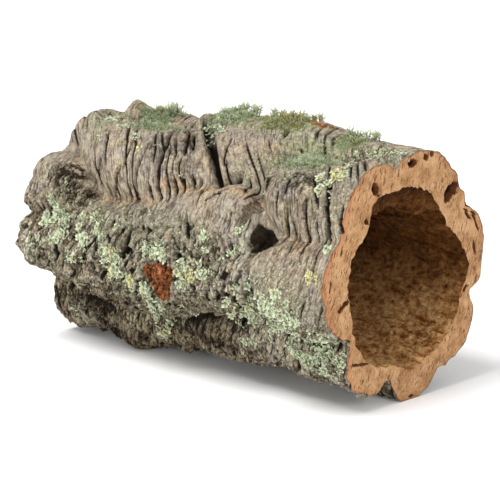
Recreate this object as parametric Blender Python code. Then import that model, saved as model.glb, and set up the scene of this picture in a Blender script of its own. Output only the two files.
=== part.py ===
"""A hollow branch of virgin cork: one tube of bark, sawn square at both ends, with moss and lichen on it.

Metres, +Z up. +X runs along the tube towards the sawn end that shows, and the tube lies on z = 0
with the middle of its box over the origin. The design values below are in millimetres and degrees,
and MM turns them into metres. A point of the tube is given as x along it, theta round it, counted
from +Y over the top (90) to the front (180) and the underside (270), and a radius from its axis.
"""
import bmesh
import bpy
import numpy as np
from mathutils import Vector
from mathutils.bvhtree import BVHTree

MM = 0.001

LENGTH = 281.0        # from one sawn end to the other
END_X = LENGTH/2      # the sawn end that shows is at +END_X, the hidden one at -END_X
AXIS_Y = -0.6         # the axis that the radii are counted from
AXIS_Z = 79.0
TRIM = 1.5            # the rough tube is made this much longer at each end, then sawn
COLUMNS = 260         # the rough tube's points round it, and its rows outside, inside and on an end
OUTSIDE_ROWS = 190
BORE_ROWS = 70
END_RINGS = 14
WELD = 1e-7
STOCK_HALF_WIDTH = 0.2
STOCK_TOP = 0.3
BARK_TRIANGLES = 5450
GAP = 0.9             # air between the bark and what grows on it, counted outward from the axis

# The bark has swollen into long rolls that start, lean and run out along the tube. Each roll is a
# lean (mm of x for each degree) and stations of (x, theta of its crest, crest radius, roll radius).
ROLLS = {
    "crown_far": (0.6, (
        (-140, 99, 72, 21), (-130, 104, 76, 28), (-119, 109, 79, 32), (-100, 114, 80.5, 33),
        (-75, 119, 81, 34),
        (-45, 121, 80, 34), (-20, 116, 79, 31), (-8, 112, 76, 28), (2, 110, 78, 28),
        (20, 100, 79, 27), (40, 98, 78, 27), (58, 98, 76, 24), (72, 98, 70, 18), (84, 98, 55, 6))),
    "crown_near": (0.8, (
        (50, 128, 50, 4), (58, 129, 64, 13), (68, 130, 74, 22), (80, 132, 78, 28),
        (96, 130, 79, 31), (116, 126, 79, 30), (131, 121, 80, 27), (141, 117, 80, 26))),
    "top": (0.2, (
        (-140, 70, 72, 26), (-126, 72, 74.5, 27), (-116, 74, 79, 27), (-104, 74, 77, 27),
        (-80, 74, 77.5, 27), (-62, 74, 75, 27), (-50, 74, 78, 27), (-38, 75, 83, 27),
        (0, 75, 83.5, 28), (20, 75, 86.5, 29), (58, 75, 87, 30), (72, 75, 84.5, 30),
        (86, 75, 81.5, 29), (116, 74, 81.5, 31), (141, 72, 81, 34))),
    "shoulder": (0.0, (
        (-140, 36, 71, 24), (-64, 38, 76, 25), (6, 36, 78, 25), (76, 42, 79, 24), (141, 48, 77, 19))),
    "back": (0.0, (
        (-140, 2, 75, 27), (-74, 5, 78, 28), (16, 8, 77, 28), (141, 11, 79.5, 31))),
    "heel": (0.0, (
        (-140, 325, 76, 27), (-64, 321, 79, 27), (16, 322, 77, 26), (141, 318, 81.5, 30))),
    "foot": (0.0, (
        (-140, 284, 82, 26), (-84, 282, 81, 25), (-44, 281, 79, 24), (-4, 280, 78, 24),
        (26, 280, 79.5, 24), (58, 279, 78, 23), (80, 279, 82, 23), (121, 279, 82.5, 21),
        (141, 278, 81, 20))),
    "toe": (0.0, (
        (-140, 245, 78.5, 23), (-106, 246, 80, 24), (-94, 246, 78, 24), (-80, 247, 81.5, 24),
        (-64, 247, 85, 24), (-54, 247, 81, 24), (-42, 247, 78.5, 24), (-20, 246, 77.5, 24),
        (-8, 244, 73, 24), (4, 242, 73, 24), (16, 240, 75.5, 25),
        (48, 238, 75.5, 26), (62, 237, 72.5, 25), (91, 236, 74, 26), (116, 236, 75, 26),
        (141, 238, 77, 24))),
    "hip": (-0.4, (
        (-140, 188, 77, 19), (-114, 189, 78, 23), (-89, 191, 79, 26), (-62, 195, 78, 31),
        (-42, 199, 78, 34), (-14, 197, 77, 33), (13, 190, 76, 30), (41, 188, 75, 28),
        (58, 188, 74, 26), (70, 186, 66, 16), (80, 186, 50, 4))),
    "brow": (0.5, (
        (-140, 152, 73, 25), (-118, 151, 76.5, 24), (-104, 151, 76, 23), (-93, 153, 72, 19),
        (-84, 156, 66, 12), (-74, 159, 56, 6))),
    "band": (0.3, (
        (-116, 170, 50, 4), (-102, 171, 66, 14), (-84, 173, 72, 20), (-59, 176, 73, 22),
        (-29, 172, 73, 26), (1, 166, 74, 30), (26, 157, 75, 32), (46, 153, 75, 31),
        (58, 152, 73, 24), (66, 150, 66, 12), (74, 150, 50, 4))),
    "cheek": (0.2, (
        (68, 180, 50, 5), (76, 180, 69, 18), (86, 180, 76, 29), (101, 181, 78, 33),
        (121, 179, 77, 34), (141, 175, 74.5, 33))),
}
CORE_RADIUS = 59.0    # the deepest that the valleys between the rolls go
VALLEY_SOFTNESS = 1.0 # how rounded the valleys are
LEAN_REACH = 60       # a roll's lean is carried this many degrees to either side
FALL_OFF = 3          # how fast a roll's surface drops away where its circle has ended

# How far the cross fissures are carried along x as they go round, (theta, mm).
GRAIN = ((0, -2), (60, 2), (88, 0), (125, -42), (150, -54), (165, -54), (195, -44), (225, -30),
         (270, -16), (360, -2))

# Waves of the surface: (size along the tube, size round it, height, seed).
LUMPS = ((34, 30, 1.6, 3), (15, 15, 1.2, 4))
GRAIN_WANDER = ((38, 30, 4.5, 11), (13, 11, 1.5, 12))
PLATES = (13, 40, 1.0, 21)       # the plates of bark; the fissures run where this wave crosses zero
PLATE_HEIGHT = 1.2
FISSURE_DEPTH = 2.8
FISSURE_SHARE = 0.16             # how much of a plate's wave the fissure beside it takes
OPEN_FISSURES = (24, 20, 1.0, 22)
OPEN_FROM, OPEN_TO = -0.2, 0.25  # fissures open where that wave rises from the one to the other
CRUMBLED = 0.4                   # the share of a fissure's depth that is lost in crumbly bark
CRUMBS = (9, 9, 1.9, 31)         # the crumbly bark low on the front
CRUMBS_FROM = (176, 200)
CRUMBS_TO = (300, 330)
BORE_SWELLS = ((70, 26, -2.5, 41), (22, 8, 1.2, 42))
BORE_TAPER = 2.5                 # the bore is this much narrower inside than at its mouth
MOUTH = (5, 60)                  # the depths from which and to which it narrows
ROUND_AT = 74                    # the radius at which the outside's waves are read
BORE_ROUND_AT = 55

# Single marks: (x, theta, half width along, half width round, depth, lean, steepness).
MARKS = (
    (64.8, 159, 2.4, 16, -3, 0.05, 2),     # rim of the knot hollow
    (-112, 84, 6, 9, -6.5, 0.0, 2),        # knob on the crest
    (-38, 91, 5, 9, -5, 0.0, 2),           # lip beside the great fissure
    (3.5, 115, 2.8, 27, 7, 0.97, 2),       # the great fissure
    (15, 176, 3.2, 3.2, 6, 0.0, 2),        # beetle hole
    (28, 216, 15, 5.5, 6, 0.0, 2),         # recess under the hip
    (-96, 222, 16, 3.0, 5, -1.8, 2),       # slot under the hip
    (-34, 178, 2.4, 13, 5, -0.35, 2),      # split in the band
    (29, 128, 5, 3.6, 6, -0.4, 2),         # hole at the foot of the crown
    (66, 190, 4.5, 38, -3.5, -0.1, 2),     # collar round the knot
    (78, 200, 3.5, 25, 2.5, -0.3, 2),      # valley beside the collar
    (-138, 166, 17, 8, -4, 0.0, 2),        # fullness between brow and hip
    (141, 44, 14, 6, 4.5, 0.0, 2),         # nick between top and shoulder
    (141, 5, 14, 9, 2.5, 0.0, 2),          # flat on the back
    (141, 350, 14, 5, -3, 0.0, 2),         # fold under the back
    (141, 341, 14, 3.5, 3.5, 0.0, 2),      # crease over the heel
    (141, 294, 14, 5, -5, 0.0, 2),         # fold between heel and foot
)

# Hollows with a clear edge: (depth, width of its slope, corners (x, theta) round it).
HOLLOWS = (
    (12, 4.0, ((67.5, 149), (78, 151.5), (98, 158), (95, 161), (86, 166.5), (69, 169.5))),    # knot
    (4.5, 2.5, ((55.2, 135.2), (57.5, 133.1), (64.2, 139.6), (64.5, 144.8), (63.7, 149.9),
                (61.8, 152.9), (57.7, 147.3))),                                     # bare, over it
    (2.6, 1.5, ((-17, 184), (4, 180), (15, 183), (4, 201), (-5, 201), (-15, 192))), # plate lost
)

# The bore, (theta, radius at the sawn end that shows).
BORE = ((0, 62), (17, 55), (35, 48), (55, 52), (68, 56), (80, 56.5), (91, 57.5), (101, 57),
        (112, 59), (121, 58), (127, 53.5), (131, 50.5), (138, 48), (150, 50), (158, 52.5),
        (167, 51), (175, 51.5), (183, 51), (197, 50), (219, 55), (236, 57), (246, 57),
        (253, 55.5), (261, 54), (270, 57.5), (276, 60), (285, 60.5), (293, 59), (303, 60.5),
        (317, 61), (330, 60.5), (343, 58), (350, 61), (357, 63), (360, 62))
LEDGE_STEP = 9.5      # the inner bark stands this much lower behind the broken rim at the top
LEDGE_DEPTHS = (4, 14)
LEDGE_FROM = (48, 62)
LEDGE_TO = (112, 128)
THINNEST_WALL = 4.0

# Beetle galleries and pits in the sawn end: (theta, radius, half width round, half width out, depth).
END_HOLES = (
    (48.5, 65, 3.0, 7.0, 12),
    (114.5, 67, 3.0, 5.0, 9),
    (85, 71.5, 4.0, 2.2, 4),
    (344, 62, 2.6, 2.6, 5),
)


# What grows on the bark: (x, theta, half length along, half width round, height, lean, seed).
MOSS = {
    "moss_far_tuft": (-88, 84, 20, 14, 9.5, 0.0, 1),
    "moss_far_mat": (-58, 106, 24, 13, 3.5, 0.5, 2),
    "moss_crest_far": (-17, 82, 21, 16, 8, 0.0, 3),
    "moss_crest_near": (30, 82, 26, 17, 8, 0.0, 4),
    "moss_near_tuft": (92, 84, 15, 12, 5.5, 0.0, 5),
    "moss_slope": (88, 112, 24, 16, 4.5, 0.6, 6),
}
LICHEN = {
    "lichen_brow": (-105, 170, 14, 19, 4, 0.0, 11),
    "lichen_hip_far": (-79, 173, 9, 15, 3.5, 0.2, 12),
    "lichen_hip_low": (-43, 188, 14, 13, 3.5, 0.2, 13),
    "lichen_scar": (-7, 174, 16, 9, 4, 0.0, 14),
    "lichen_scar_side": (20, 185, 8, 14, 3.5, 0.0, 15),
    "lichen_scar_foot": (-14, 204, 10, 14, 3.5, -0.3, 16),
    "lichen_toe": (-30, 232, 12, 11, 3.5, -0.3, 17),
    "lichen_arch": (57, 203, 9, 17, 3.5, -0.2, 23),
    "lichen_cheek": (95, 198, 16, 24, 4, 0.2, 18),
    "lichen_sole": (122, 221, 14, 16, 4, 0.2, 19),
    "lichen_crown": (120, 124, 14, 13, 3.5, 0.5, 20),
    "lichen_back_far": (-70, 22, 24, 17, 3.5, 0.0, 21),
    "lichen_back_near": (66, 350, 22, 19, 3.5, 0.0, 22),
}
GROWTH_RINGS = 3
GROWTH_SPOKES = 12
ROOTED = 3.0          # how far a growth's rough solid reaches into the bark before it is cut off
GROWTH_ROUND_AT = 78
EDGE_WAVES = 2.2      # how often a growth's edge wanders from an oval, and how far
EDGE_RAGGED = 0.28
LUMP_SIZE = 6.0
LUMP_LEAST = 0.75     # a lump's height against the growth's, and how much that varies
LUMP_SPREAD = 0.5
DOME_POWER = 2.2      # how flat a growth is on top before it falls to its edge
EDGE_TUCK = 0.8       # the edge ends this far under the bark
BEYOND = 120.0        # a radius well outside the bark, where rays towards it start
CLEAR_OF_END = 4.0    # no growth comes nearer to a sawn end than this


def lattice_hash(i, j, k, seed):
    """A repeatable scramble of three whole numbers."""
    h = (i*374761393 + j*668265263 + k*2147483647 + seed*1274126177) & 0xFFFFFFFF
    h = ((h ^ (h >> 13))*1274126177) & 0xFFFFFFFF
    h = ((h ^ (h >> 16))*1540483477) & 0xFFFFFFFF
    return h ^ (h >> 15)


def noise(x, y, z, seed):
    """Smooth gradient noise between about -1 and 1, for arrays of points one unit to a cell."""
    axes = [np.asarray(a, float) for a in np.broadcast_arrays(x, y, z)]
    cell = [np.floor(a).astype(np.int64) for a in axes]
    part = [a - c for a, c in zip(axes, cell)]
    ease = [p*p*p*(p*(p*6 - 15) + 10) for p in part]
    total = np.zeros(axes[0].shape)
    for corner in np.ndindex(2, 2, 2):
        h = lattice_hash(cell[0] + corner[0], cell[1] + corner[1], cell[2] + corner[2], seed)
        slope = sum((((h >> shift) & 1023)/511.5 - 1)*(p - o)
                    for shift, p, o in zip((0, 10, 20), part, corner))
        weight = np.ones(axes[0].shape)
        for e, o in zip(ease, corner):
            weight = weight*(e if o else 1 - e)
        total = total + weight*slope
    return total*1.4


def smoothstep(low, high, value):
    t = np.clip((value - low)/(high - low), 0, 1)
    return t*t*(3 - 2*t)


def turn(angle):
    """An angle in degrees brought between -180 and 180."""
    return (angle + 180) % 360 - 180


def roll_radius(x, theta, lean, stations):
    """The radius of one roll, a circle that bulges from the tube, seen from the axis."""
    rows = np.array(stations, float)
    middle = np.interp(x, rows[:, 0], rows[:, 1])
    at = x - lean*np.clip(turn(theta - middle), -LEAN_REACH, LEAN_REACH)
    crest_theta, crest, radius = (np.interp(at, rows[:, 0], rows[:, c]) for c in (1, 2, 3))
    off = np.radians(turn(theta - crest_theta))
    centre = np.maximum(crest - radius, 0)
    inside = radius**2 - (centre*np.sin(off))**2
    on_circle = centre*np.cos(off) + np.sqrt(np.maximum(inside, 0))
    beside = centre*np.cos(off) - FALL_OFF*np.sqrt(np.maximum(-inside, 0))
    return np.where((inside > 0) & (np.cos(off) > 0), on_circle, beside)


def smooth_max(values, softness):
    stack = np.stack(values)
    top = stack.max(0)
    return top + softness*np.log(np.exp((stack - top)/softness).sum(0))


def mark(x, theta, x0, theta0, along, around, depth, lean, power):
    """One dent, or a bump where the depth is negative."""
    v = np.radians(turn(theta - theta0))*ROUND_AT
    u = x - x0 - lean*v
    return -depth*np.exp(-(np.abs(u/along)**power + np.abs(v/around)**power))


def inside_outline(x, theta, corners):
    """How far a point lies inside a convex outline of (x, theta) corners; negative outside it."""
    v = np.radians(turn(theta - corners[0][1]))*ROUND_AT
    places = [(px, np.radians(pt - corners[0][1])*ROUND_AT) for px, pt in corners]
    least = np.full(np.shape(x), np.inf)
    for (x0, v0), (x1, v1) in zip(places, places[1:] + places[:1]):
        side = ((x1 - x0)*(v - v0) - (v1 - v0)*(x - x0))/np.hypot(x1 - x0, v1 - v0)
        least = np.minimum(least, side)
    return least


def wave(x, y, z, along, around, height, seed):
    return height*noise(x/along, y/around, z/around, seed)


def bark_radius(x, theta):
    """The outside of the bark: rolls, lumps, cross fissures between plates, and single marks."""
    angle = np.radians(theta)
    y, z = np.cos(angle)*ROUND_AT, np.sin(angle)*ROUND_AT
    rolls = [roll_radius(x, theta, lean, stations) for lean, stations in ROLLS.values()]
    r = smooth_max([np.full(x.shape, CORE_RADIUS)] + rolls, VALLEY_SOFTNESS)
    r = r + sum(wave(x, y, z, *values) for values in LUMPS)
    grain = np.interp(theta % 360, [g[0] for g in GRAIN], [g[1] for g in GRAIN])
    along = x + grain + sum(wave(x, y, z, *values) for values in GRAIN_WANDER)
    crumbly = smoothstep(*CRUMBS_FROM, theta)*(1 - smoothstep(*CRUMBS_TO, theta))
    plate = wave(along, y, z, *PLATES)
    fissure = np.exp(-(plate/FISSURE_SHARE)**2)
    fissure = fissure*smoothstep(OPEN_FROM, OPEN_TO, wave(x, y, z, *OPEN_FISSURES))
    r = r + PLATE_HEIGHT*plate - FISSURE_DEPTH*fissure*(1 - CRUMBLED*crumbly)
    r = r + crumbly*wave(x, y, z, *CRUMBS)
    for values in MARKS:
        r = r + mark(x, theta, *values)
    for depth, slope, corners in HOLLOWS:
        r = r - depth*smoothstep(0, slope, inside_outline(x, theta, corners))
    return r


def bore_radius(x, theta):
    """The inside of the tube: the measured opening, a broken ledge at the top, and long swells."""
    r = np.interp(theta % 360, [b[0] for b in BORE], [b[1] for b in BORE])
    angle = np.radians(theta)
    y, z = np.cos(angle)*BORE_ROUND_AT, np.sin(angle)*BORE_ROUND_AT
    depth = END_X - x
    ledge = smoothstep(*LEDGE_FROM, theta % 360)*(1 - smoothstep(*LEDGE_TO, theta % 360))
    r = r - LEDGE_STEP*smoothstep(*LEDGE_DEPTHS, depth)*ledge
    swell = sum(wave(x, y, z, *values) for values in BORE_SWELLS) - BORE_TAPER
    return r + swell*smoothstep(*MOUTH, depth)


def material(name, colour, roughness):
    """A plain Principled material; colours are linear."""
    made = bpy.data.materials.new(name)
    made.use_nodes = True
    shader = made.node_tree.nodes["Principled BSDF"]
    shader.inputs["Base Color"].default_value = (*colour, 1)
    shader.inputs["Roughness"].default_value = roughness
    shader.inputs["Metallic"].default_value = 0
    return made


def add_object(name, mesh, shade):
    piece = bpy.data.objects.new(name, mesh)
    bpy.context.scene.collection.objects.link(piece)
    piece.data.materials.append(shade)
    return piece


def guide(name, mesh):
    """A cutter: it shapes other pieces and is no piece itself."""
    tool = bpy.data.objects.new(name, mesh)
    bpy.context.scene.collection.objects.link(tool)
    tool.hide_render = True
    tool.display_type = "WIRE"
    return tool


def evaluated_mesh(piece):
    """The mesh that a piece's modifiers give, as a new mesh of its own."""
    depsgraph = bpy.context.evaluated_depsgraph_get()
    return bpy.data.meshes.new_from_object(piece.evaluated_get(depsgraph))


def to_points(x, theta, r):
    angle = np.radians(theta)
    points = np.stack([x, AXIS_Y + r*np.cos(angle), AXIS_Z + r*np.sin(angle)], -1)
    return points.reshape(-1, 3)*MM


def wrapped_grid(rows, columns, points):
    """A closed ring of quads: a flat grid whose edges are brought together and welded."""
    bm = bmesh.new()
    bmesh.ops.create_grid(bm, x_segments=rows, y_segments=columns, size=1)
    for v in bm.verts:
        row = round((v.co.x + 1)/2*rows) % rows
        column = round((v.co.y + 1)/2*columns) % columns
        v.co = points[row*columns + column]
    bmesh.ops.remove_doubles(bm, verts=bm.verts, dist=WELD)
    if bm.calc_volume(signed=True) < 0:
        bmesh.ops.reverse_faces(bm, faces=bm.faces)
    mesh = bpy.data.meshes.new("bark_rough")
    bm.to_mesh(mesh)
    bm.free()
    return mesh


def rough_tube():
    """The whole tube as a fine closed mesh: the outside, an end, the bore, and the other end."""
    around = COLUMNS
    theta = np.arange(around)*360/around
    reach = END_X + TRIM
    outside_x = np.linspace(-reach, reach, OUTSIDE_ROWS)
    X, T = np.meshgrid(outside_x, theta, indexing="ij")
    outside = bark_radius(X, T)
    bore_x = np.linspace(reach, -reach, BORE_ROWS)
    XB, TB = np.meshgrid(bore_x, theta, indexing="ij")
    outer_there = np.stack([np.interp(bore_x, outside_x, outside[:, c]) for c in range(around)], 1)
    inside = np.minimum(bore_radius(XB, TB), outer_there - THINNEST_WALL)
    share = (np.arange(END_RINGS) + 1)/(END_RINGS + 1)
    end_r = outside[-1] + (inside[0] - outside[-1])*share[:, None]
    end_t = np.broadcast_to(theta, end_r.shape)
    end_x = np.full(end_r.shape, reach)
    for theta0, radius0, wide, out, depth in END_HOLES:
        u = np.radians(turn(end_t - theta0))*radius0/wide
        v = (end_r - radius0)/out
        end_x = end_x - (depth + TRIM)*np.exp(-(u**2 + v**2)**2)
    other_r = inside[-1] + (outside[0] - inside[-1])*share[:, None]
    points = np.concatenate([
        to_points(X, T, outside),
        to_points(end_x, end_t, end_r),
        to_points(XB, TB, inside),
        to_points(np.full(other_r.shape, -reach), end_t, other_r)])
    return wrapped_grid(OUTSIDE_ROWS + BORE_ROWS + 2*END_RINGS, around, points.tolist())


def box_mesh(name, low, high):
    bm = bmesh.new()
    bmesh.ops.create_cube(bm, size=1)
    for v in bm.verts:
        v.co = [(a + b)/2 + c*(b - a) for a, b, c in zip(low, high, v.co)]
    mesh = bpy.data.meshes.new(name)
    bm.to_mesh(mesh)
    bm.free()
    return mesh


def make_bark():
    """The cork tube, thinned to its main facets, then sawn at both ends and flat where it lies."""
    rough = add_object("bark_rough", rough_tube(), material("bark", (0.23, 0.19, 0.145), 0.92))
    thin = rough.modifiers.new("facets", "DECIMATE")
    thin.ratio = BARK_TRIANGLES/(2*len(rough.data.polygons))
    stock_mesh = box_mesh("sawn_stock", (-END_X*MM, -STOCK_HALF_WIDTH, 0),
                          (END_X*MM, STOCK_HALF_WIDTH, STOCK_TOP))
    stock = guide("sawn_stock", stock_mesh)
    saw = rough.modifiers.new("saw", "BOOLEAN")
    saw.operation = "INTERSECT"
    saw.object = stock
    mesh = evaluated_mesh(rough)
    shade = rough.data.materials[0]
    bpy.data.objects.remove(rough)
    mesh.name = "cork_bark"
    mesh.materials.clear()
    return add_object("cork_bark", mesh, shade)


def bark_cutter(bark_piece):
    """The bark moved out by the gap all round, to cut what grows on it to its surface."""
    mesh = bark_piece.data.copy()
    mesh.name = "bark_swollen"
    for v in mesh.vertices:
        out = Vector((0, v.co.y - AXIS_Y*MM, v.co.z - AXIS_Z*MM)).normalized()
        v.co += out*GAP*MM
    return guide("bark_swollen", mesh)


def growth_mesh(name, tree, x0, theta0, along, around, height, lean, seed):
    """A low lumpy cushion: rings of points on the bark, highest in the middle, closed underneath."""
    bm = bmesh.new()
    layers = []
    for top in (True, False):
        rings = []
        for ring in range(GROWTH_RINGS + 1):
            share = ring/GROWTH_RINGS
            spokes = GROWTH_SPOKES if ring else 1
            row = []
            for spoke in range(spokes):
                turned = 2*np.pi*spoke/GROWTH_SPOKES
                at_edge = EDGE_WAVES*np.cos(turned), EDGE_WAVES*np.sin(turned)
                edge = 1 + EDGE_RAGGED*noise(*at_edge, 0.5, seed)
                v = share*edge*around*np.sin(turned)
                x = x0 + share*edge*along*np.cos(turned) + lean*v
                x = float(np.clip(x, CLEAR_OF_END - END_X, END_X - CLEAR_OF_END))
                theta = theta0 + np.degrees(v/GROWTH_ROUND_AT)
                out = Vector((0, np.cos(np.radians(theta)), np.sin(np.radians(theta))))
                axis_point = Vector((x*MM, AXIS_Y*MM, AXIS_Z*MM))
                hit = tree.ray_cast(axis_point + out*BEYOND*MM, -out)[0]
                lump = LUMP_LEAST + LUMP_SPREAD*noise(x/LUMP_SIZE, v/LUMP_SIZE, 0.3, seed + 50)
                dome = height*lump*(1 - share**DOME_POWER) - EDGE_TUCK*share
                lift = dome if top else -ROOTED
                row.append(bm.verts.new(hit + out*lift*MM))
            rings.append(row)
        layers.append(rings)
    for rings, upward in zip(layers, (True, False)):
        for inner, outer in zip(rings, rings[1:]):
            for spoke in range(GROWTH_SPOKES):
                after = (spoke + 1) % GROWTH_SPOKES
                if len(inner) == 1:
                    face = [inner[0], outer[spoke], outer[after]]
                else:
                    face = [inner[spoke], outer[spoke], outer[after], inner[after]]
                bm.faces.new(face if upward else face[::-1])
    for spoke in range(GROWTH_SPOKES):
        after = (spoke + 1) % GROWTH_SPOKES
        high, low = layers[0][-1], layers[1][-1]
        bm.faces.new([high[spoke], low[spoke], low[after], high[after]])
    bmesh.ops.recalc_face_normals(bm, faces=bm.faces)
    bmesh.ops.triangulate(bm, faces=bm.faces)
    mesh = bpy.data.meshes.new(name)
    bm.to_mesh(mesh)
    bm.free()
    return mesh


def keep_largest(mesh):
    """Drops the crumbs that the cut leaves beside a growth's main body."""
    bm = bmesh.new()
    bm.from_mesh(mesh)
    waiting = set(bm.faces)
    bodies = []
    while waiting:
        body = set()
        edge_of_body = [waiting.pop()]
        while edge_of_body:
            face = edge_of_body.pop()
            body.add(face)
            for edge in face.edges:
                for other in edge.link_faces:
                    if other in waiting:
                        waiting.remove(other)
                        edge_of_body.append(other)
        bodies.append(body)
    largest = max(bodies, key=lambda body: sum(face.calc_area() for face in body))
    crumbs = [face for face in bm.faces if face not in largest]
    bmesh.ops.delete(bm, geom=crumbs, context="FACES")
    bm.to_mesh(mesh)
    bm.free()


def make_growth(name, tree, cutter, shade, values):
    rough = add_object(name + "_rough", growth_mesh(name, tree, *values), shade)
    cut = rough.modifiers.new("bark_surface", "BOOLEAN")
    cut.operation = "DIFFERENCE"
    cut.object = cutter
    mesh = evaluated_mesh(rough)
    bpy.data.objects.remove(rough)
    keep_largest(mesh)
    mesh.name = name
    mesh.materials.clear()
    return add_object(name, mesh, shade)


for old in list(bpy.data.objects):
    bpy.data.objects.remove(old)

bark = make_bark()
bark_tree = BVHTree.FromPolygons([v.co for v in bark.data.vertices],
                                 [p.vertices for p in bark.data.polygons])
swollen = bark_cutter(bark)
moss_shade = material("moss", (0.20, 0.22, 0.11), 0.95)
lichen_shade = material("lichen", (0.48, 0.54, 0.36), 0.95)
for node, values in MOSS.items():
    make_growth(node, bark_tree, swollen, moss_shade, values)
for node, values in LICHEN.items():
    make_growth(node, bark_tree, swollen, lichen_shade, values)
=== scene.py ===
"""The looks of a hollow branch of virgin cork bark, with moss and lichen on it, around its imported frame.

Design values along and round the tube are in millimetres and degrees, and MM turns them into metres.
A point of the bark is given as x along the tube, theta round it from +Y over the top (90) to the
front (180) and the underside (270), and a radius from the tube's axis.
"""

import math

import bmesh
import bpy
import numpy as np
from mathutils import Matrix, Quaternion, Vector
from mathutils.bvhtree import BVHTree


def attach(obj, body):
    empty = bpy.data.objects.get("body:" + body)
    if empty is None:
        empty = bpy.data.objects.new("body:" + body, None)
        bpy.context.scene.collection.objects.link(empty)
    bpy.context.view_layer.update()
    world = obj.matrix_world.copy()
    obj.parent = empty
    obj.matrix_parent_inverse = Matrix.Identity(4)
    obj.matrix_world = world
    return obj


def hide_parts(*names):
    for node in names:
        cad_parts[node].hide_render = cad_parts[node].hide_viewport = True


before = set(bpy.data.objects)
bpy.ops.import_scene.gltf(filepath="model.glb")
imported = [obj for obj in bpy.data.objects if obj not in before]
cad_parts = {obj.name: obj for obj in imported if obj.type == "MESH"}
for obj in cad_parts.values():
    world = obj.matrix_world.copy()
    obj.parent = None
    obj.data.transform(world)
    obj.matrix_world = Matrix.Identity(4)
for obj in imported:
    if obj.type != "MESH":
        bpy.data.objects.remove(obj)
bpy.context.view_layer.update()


# The studio. A plain pale floor, a soft overcast dome, a broad sun-like light high on the camera's
# left, soft lights towards the sawn end and low on the front, and the camera at the photograph's angle.
CAMERA_AZIMUTH = math.radians(45)
CAMERA_ELEVATION = math.radians(13)
CAMERA_DISTANCE = 1.38
CAMERA_TARGET = (0.0017, 0.0044, 0.0736)
CAMERA_LENS = 150
SENSOR_WIDTH = 36
LIT_PLACE = (0, 0, 0.07)
FLOOR_REACH = 9


def new_object(name, data):
    thing = bpy.data.objects.new(name, data)
    bpy.context.scene.collection.objects.link(thing)
    return thing


def aim(thing, place, target):
    thing.location = place
    away = Vector(target) - thing.location
    thing.rotation_mode = "QUATERNION"
    thing.rotation_quaternion = away.to_track_quat("-Z", "Y")


def new_light(name, kind, place, power):
    lamp = bpy.data.lights.new(name, kind)
    lamp.energy = power
    aim(new_object(name, lamp), place, LIT_PLACE)
    return lamp


def new_finish(name, roughness, specular):
    """A material, its node tree and its Principled shader."""
    made = bpy.data.materials.new(name)
    made.use_nodes = True
    shader = made.node_tree.nodes["Principled BSDF"]
    shader.inputs["Roughness"].default_value = roughness
    shader.inputs["Specular IOR Level"].default_value = specular
    return made, made.node_tree, shader


camera = new_object("camera", bpy.data.cameras.new("camera"))
camera.data.lens = CAMERA_LENS
camera.data.sensor_width = SENSOR_WIDTH
towards_camera = Vector((math.sin(CAMERA_AZIMUTH)*math.cos(CAMERA_ELEVATION),
                         -math.cos(CAMERA_AZIMUTH)*math.cos(CAMERA_ELEVATION),
                         math.sin(CAMERA_ELEVATION)))
aim(camera, Vector(CAMERA_TARGET) + towards_camera*CAMERA_DISTANCE, CAMERA_TARGET)
bpy.context.scene.camera = camera

for name, place, size, power, colour in (
        ("end_light", (1.2, -0.35, 0.6), 0.45, 4.6, (1.0, 0.98, 0.95)),
        ("low_light", (0.1, -1.3, 0.22), 0.7, 7, (1.0, 1.0, 1.0))):
    lamp = new_light(name, "AREA", place, power)
    lamp.shape = "DISK"
    lamp.size = size
    lamp.color = colour
key = new_light("key_light", "SUN", (-0.15, -0.6, 1.3), 2.45)
key.angle = math.radians(28)

dome = bpy.data.worlds.new("dome")
dome.use_nodes = True
overcast = dome.node_tree.nodes["Background"].inputs
overcast["Color"].default_value = (1, 1, 1, 1)
overcast["Strength"].default_value = 0.72
bpy.context.scene.world = dome
bpy.context.scene.view_settings.view_transform = "Standard"

floor_form = bmesh.new()
bmesh.ops.create_grid(floor_form, x_segments=1, y_segments=1, size=FLOOR_REACH)
floor_mesh = bpy.data.meshes.new("floor")
floor_form.to_mesh(floor_mesh)
floor_form.free()
paper, tree, shader = new_finish("pale_paper", 0.9, 0.5)
shader.inputs["Base Color"].default_value = (0.9, 0.9, 0.9, 1)
floor_mesh.materials.append(paper)
new_object("floor", floor_mesh)


# The tube of bark. It grew round a branch of cork oak, swelled into long rolls that start, lean and
# run out, split across into plates, and was sawn square at both ends when the wood had gone.
MM = 0.001
END_X = 140.5
AXIS_Y = -0.6
AXIS_Z = 79.0
ROUND_AT = 74     # the radius at which degrees round the tube are turned into millimetres
CORE_RADIUS = 59.0

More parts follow.
